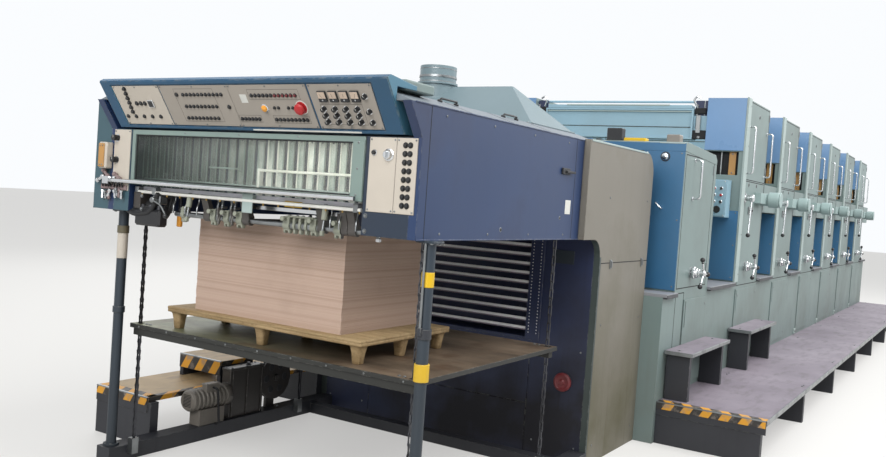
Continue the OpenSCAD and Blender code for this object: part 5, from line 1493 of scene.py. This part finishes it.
# %% Corner strips, panel locks and bolts along the line
line_trim = bmesh.new()
for start in TOWER_STARTS:
    rear = start + TOWER_LEN
    for side in SIDES:
        # Rolled edge along the strip at the tower's front corner, and its screws
        foot = Vector((side * (UNIT_HALF + 0.014), start - 0.006, 1.076))
        add_rod(line_trim, foot, foot + Vector((0, 0, TOWER_H - 1.072)), 0.005, sides=8)
        for z in (1.14, 1.5, 2.05, 2.30, 2.66):
            add_screw(line_trim, on_side(side, start + 0.105, z, 0.014), 0.006, 1, 2)
        # Dark joint between the tower and the housing behind it, and the bolted foot
        side_box(line_trim, side, (rear - 0.002, rear + 0.003), (1.74, 1.988), (-0.002, 0.0008), 0.0002, 2)
        side_box(line_trim, side, (start + 0.02, start + 0.10), (0.31, 0.37), (-0.001, 0.012), 0.004)
        add_bolt(line_trim, on_side(side, start + 0.06, 0.34, 0.012), 0.011, 1)
# Quarter-turn locks of the lower panels
LOCKS_Y = [LOW_Y + 0.28, LOW_Y + 0.80] + [start + y for start in TOWER_STARTS for y in (0.18, 0.87)]
for side in SIDES:
    for y in LOCKS_Y:
        for z in (0.40, 0.94):
            add_screw(line_trim, on_side(side, y, z, 0.008), 0.010, 1, 2)
piece("line_trim", line_trim, [PALE_TRIM, STEEL, DARK_JOINT_AND_SHADE])

# %% Dark edges of the shelves and screws of the front panels
shelf_trim = bmesh.new()
RECESSES = [(0.445, LOW_Y), (LOW_REAR, FIRST_Y)] + [(y + TOWER_LEN, y + PITCH) for y in TOWER_STARTS]
for front, rear in RECESSES:
    for side in SIDES:
        for x0, z0, z1 in ((1.246, 1.046, 1.066), (1.221, 1.038, 1.048)):
            add_mirrored(shelf_trim, side, (x0, front + 0.002, z0), (1.252, rear - 0.010, z1), 0.0015)
for start in UNIT_STARTS:
    top = 2.09 if start == LOW_Y else 1.69
    for side in SIDES:
        for x in (0.935, 1.195):
            for z in (1.11, (1.11 + top) / 2, top):
                add_screw(shelf_trim, facing_front(side * x, start - 0.008, z), 0.006, 1, 2)
piece("shelf_trim", shelf_trim, [FRAME_DARK, STEEL, DARK_JOINT_AND_SHADE])

# %% Knobs and gauge of the control box
box_trim = bmesh.new()
BOX_FACE = FIRST_Y - 0.163
for side in SIDES:
    for k in range(6):
        x, z = side * (1.095 if k % 2 else 1.035), 1.900 - 0.060 * (k // 2)
        add_button(box_trim, facing_front(x, BOX_FACE, z), 0.012, 0.013, 0 if k % 3 else 1)
    add_turned(box_trim, [(0.032, 0), (0.031, 0.005), (0.026, 0.006), (0.026, 0.002), (0, 0.002)],
               facing_front(side * 1.065, BOX_FACE, 1.712), 24)
    for x in (1.006, 1.124):
        for z in (1.661, 1.962):
            add_screw(box_trim, facing_front(side * x, BOX_FACE, z), 0.005)
piece("control_box_trim", box_trim, [BLACK, RED, AMBER, WHITE_PLASTIC, CHROME])

# %% [markdown]
# ## Galleries
# The galleries are tread plates on a dark frame. Each plate ends in a bright worn edge, and the
# front of a gallery and its step are striped as a warning to look down.

# %% Edge strips, stripes and bolts of the galleries
GALLERY_Z = 0.300
GALLERY_Y = (LOW_Y - 0.220, FIRST_Y + 6 * PITCH)
GALLERY_OUT = UNIT_HALF + 0.760
DECKS = 7
deck_len = (GALLERY_Y[1] - GALLERY_Y[0]) / DECKS
gallery = bmesh.new()
for side in SIDES:
    for k in range(DECKS):
        y0, y1 = (GALLERY_Y[0] + deck_len * j for j in (k, k + 1))
        add_mirrored(gallery, side, (GALLERY_OUT - 0.004, y0 + 0.002, GALLERY_Z - 0.034),
                     (GALLERY_OUT + 0.004, y1 - 0.002, GALLERY_Z + 0.002), 0.0015)
        for x in (UNIT_HALF + 0.10, GALLERY_OUT - 0.05):
            for y in (y0 + 0.035, y1 - 0.035):
                add_bolt(gallery, spot(side * x, y, GALLERY_Z), 0.006)
    # Striped face and striped top of the front, and the bright lip between them
    for y0, y1, z0, z1, edge, mat in ((-0.008, -0.004, -0.050, -0.006, 0.001, 1),
                                      (0.007, 0.075, -0.001, 0.0012, 0.0004, 1),
                                      (-0.008, 0.007, -0.006, 0.002, 0.001, 0)):
        add_mirrored(gallery, side, (UNIT_HALF + 0.004, GALLERY_Y[0] + y0, GALLERY_Z + z0),
                     (GALLERY_OUT - 0.004, GALLERY_Y[0] + y1, GALLERY_Z + z1), edge, mat)
# The drive-side gallery beside the pile and its step, each measured from its front outer corner
DECK_CORNER = spot(-1.600, -2.065, GALLERY_Z)
STEP_CORNER = spot(-1.510, -1.475, 0.450)
for corner, low, high, edge, mat in (
        (DECK_CORNER, (0.003, -0.009, -0.050), (0.477, -0.005, -0.006), 0.001, 1),
        (DECK_CORNER, (0.003, 0.008, -0.001), (0.477, 0.078, 0.0012), 0.0004, 1),
        (DECK_CORNER, (0, -0.009, -0.006), (0.480, 0.008, 0.002), 0.001, 0),
        (DECK_CORNER, (0.478, 0.004, -0.029), (0.482, 1.616, -0.001), 0.001, 1),
        (DECK_CORNER, (0.440, 0.010, -0.001), (0.479, 0.580, 0.0012), 0.0004, 1),
        (STEP_CORNER, (0.002, -0.009, -0.092), (0.388, -0.005, -0.006), 0.001, 1),
        (STEP_CORNER, (0, -0.009, -0.006), (0.390, 0.008, 0.002), 0.001, 0),
        (STEP_CORNER, (0.388, 0.004, -0.029), (0.392, 0.296, -0.001), 0.001, 1)):
    add_box(gallery, low, high, edge, mat, corner)
# Footboards: light folded edge and bolts
board_x = UNIT_HALF + 0.208
for y in (LOW_Y - 0.150, FIRST_Y - 0.060):
    add_box(gallery, (board_x - 0.004, y + 0.002, 0.634), (board_x + 0.004, y + 1.048, 0.662), 0.0015)
    add_box(gallery, (UNIT_HALF + 0.010, y - 0.004, 0.634), (board_x, y + 0.004, 0.662), 0.0015)
    for step in (0.085, 0.965):
        add_bolt(gallery, spot(UNIT_HALF + 0.09, y + step, 0.660), 0.007)
piece("gallery_trim", gallery, [STEEL, HAZARD])

# %% [markdown]
# ## Hoist and feeder
# The hoist's motor, gearbox and wheel lie on the floor beam at the drive side, grimy with oil.
# The feeder at the far end is seen only from other views, so it gets the parts that every
# feeder shows: suckers and their hoses, belts, side plates and handwheels.

# %% Motor, gearbox and wheel details
MOTOR = spot(-1.045, -1.820, 0.252)
GEARBOX = spot(-1.085, -1.490, 0.420)
WHEEL = Vector((-1.024, -1.040, 0.300))
WHEEL_HOLES = 6
WHEEL_ROLLERS = 26
FINS = 9
hoist = bmesh.new()
for x, z in circle(4, 0.052, math.pi / 4):
    add_bolt(hoist, MOTOR @ aim((x, 0.012, z), (x, -1, z)), 0.006)
for k in range(FINS):
    z = -0.036 + 0.009 * k
    add_box(hoist, (-0.034, -0.002, z), (0.034, 0.004, z + 0.004), 0.0008, 1, MOTOR)
# Terminal box lid with its screws, and the short fixed conduit to the beam
add_box(hoist, (0.004, 0.106, 0.092), (0.058, 0.224, 0.100), 0.003, 2, MOTOR)
for y in (0.118, 0.212):
    for x in (0.014, 0.048):
        add_screw(hoist, MOTOR @ spot(x, y, 0.100), 0.005, 0, 1)
conduit = rounded_path([(0.050, 0.165, 0.073), (0.095, 0.165, 0.073), (0.095, 0.190, -0.164),
                        (0.060, 0.190, -0.164)], 0.03)
add_tube(hoist, [MOTOR @ point for point in conduit], 0.0075, 8, 1)
# Gearbox lid, ribs and filler plug, measured from the lid's corner
add_box(hoist, (-0.005, -0.005, -0.016), (0.080, 0.315, -0.002), 0.003, 3, GEARBOX)
for y in (0.02, 0.155, 0.29):
    for x in (0.008, 0.067):
        add_bolt(hoist, GEARBOX @ spot(x, y, 0), 0.006)
    add_box(hoist, (0.074, y - 0.004, -0.325), (0.083, y + 0.004, -0.020), 0.002, 3, GEARBOX)
add_turned(hoist, [(0.020, 0), (0.020, 0.004), (0.013, 0.005), (0.013, 0.016), (0, 0.018)],
           GEARBOX @ spot(0.037, 0.2, 0), 6)
# Wheel: a rim of lightening holes and the chain's rollers between the flanges
for y, z in circle(WHEEL_HOLES, 0.090):
    middle = WHEEL + Vector((0, y, z))
    rim = [(0.026, 0), (0.026, 0.0012), (0.022, 0.0016)]
    add_ringed_hole(hoist, rim, aim(middle, middle + Vector((1, 0, 0))), 16, 0, 1, 0.0008)
for y, z in circle(WHEEL_ROLLERS, 0.139):
    middle = WHEEL + Vector((-0.021, y, z))
    add_rod(hoist, middle, middle + Vector((0.010, 0, 0)), 0.007, sides=8)
piece("hoist_fittings", hoist, [CHAIN_STEEL, DARK_JOINT_AND_SHADE, MOTOR_GREY, OILY])

# %% Suckers, hoses, belts and handwheels of the feeder
FEEDER_Y = GALLERY_Y[1]
FEEDER_H = 1.350
HEAD_Y = FEEDER_Y + 1.760
feeder = bmesh.new()
for x in (-0.60, -0.30, 0.0, 0.30, 0.60):
    belt = [(x - 0.03, FEEDER_Y + 0.180, FEEDER_H - 0.010), (x - 0.03, HEAD_Y - 0.10, FEEDER_H + 0.003)]
    add_tube(feeder, belt, 0.004, 6, 0)
    add_box(feeder, (x - 0.030, FEEDER_Y + 0.22, FEEDER_H - 0.050),
            (x + 0.030, FEEDER_Y + 0.24, FEEDER_H - 0.036), 0.002)
for x in (-0.15, 0.15):
    add_turned(feeder, [(0.024, 0), (0.020, 0.010), (0.016, 0.014), (0.020, 0.020), (0.016, 0.026),
                        (0.014, 0.040)], spot(x, HEAD_Y + 0.210, FEEDER_H - 0.170), 18)
    bends = ((1, 0.225, -0.11), (1.5, 0.285, -0.03), (1.2, 0.270, 0.08), (1, 0.255, 0.10))
    hose = rounded_path([(x * apart, HEAD_Y + y, FEEDER_H + z) for apart, y, z in bends], 0.03)
    add_tube(feeder, hose, 0.009, 8, 0)
for side in SIDES:
    add_mirrored(feeder, side, (0.903, FEEDER_Y + 0.35, 0.55), (0.915, FEEDER_Y + 1.05, 1.05), 0.004, 1)
    for z in (0.58, 1.02):
        for y in (0.38, 1.02):
            add_screw(feeder, facing_side(side, side * 0.915, FEEDER_Y + y, z), 0.007, 2, 0)
    wheel = facing_side(side, side * 0.900, FEEDER_Y + 1.45, 1.05)
    add_tube(feeder, [wheel @ Vector((x, y, 0.040)) for x, y in circle(24, 0.10)], 0.010, 8, 0, True)
    add_turned(feeder, [(0.026, 0), (0.022, 0.030), (0.018, 0.052), (0, 0.054)], wheel, 18, 2)
    for x, y in circle(3, 0.10):
        add_rod(feeder, wheel @ Vector((0, 0, 0.038)), wheel @ Vector((x, y, 0.040)), 0.006, mat=2)
piece("feeder_fittings", feeder, [HOSE_BLACK, GREEN_GREY, STEEL])

# %% Bolts of the hood's corners, the floor beams and the cheeks
fixings = bmesh.new()
for side in SIDES:
    for y in (POST_Y - 0.035, POST_Y + 0.035):
        add_bolt(fixings, aim((side * 1.075, y, 1.440), (side * 1.075, y, 1.400)), 0.007)
    for y in (-2.2, -1.6, -1.0):
        add_bolt(fixings, spot(side * 1.035, y, 0.090), 0.011)
    for z in (1.47, 1.54):
        add_bolt(fixings, on_cheek(side * 0.760, z, 0), 0.007)
piece("fixings", fixings, [STEEL])

# %% [markdown]
# ## The floor
# A pale floor takes the press's soft shadow. It is no part of the press, and it is so wide that its
# far edge reads as a horizon. Half of its paleness is seen by the camera, gloss and glass alone, so
# that it throws little light up under the press.

# %% Floor
FLOOR_HALF = 60
floor_bm = bmesh.new()
bmesh.ops.create_grid(floor_bm, x_segments=1, y_segments=1, size=FLOOR_HALF)
floor_mesh = bpy.data.meshes.new("floor")
floor_bm.to_mesh(floor_mesh)
floor_bm.free()
floor = bpy.data.objects.new("floor", floor_mesh)
floor.location.z = -0.001
bpy.context.scene.collection.objects.link(floor)
floor_material, floor_tree, floor_shader = plain_material("pale_floor", "#a3a29f", 0.0, 0.7)
floor_shader.inputs["Emission Color"].default_value = (1.0, 0.99, 0.975, 1)
FLOOR_GLOW = 0.42
glow = backdrop_strength(floor_tree, 0.0, FLOOR_GLOW)
floor_tree.links.new(glow, floor_shader.inputs["Emission Strength"])
floor_mesh.materials.append(floor_material)
print("floor", 2 * FLOOR_HALF, "m wide")
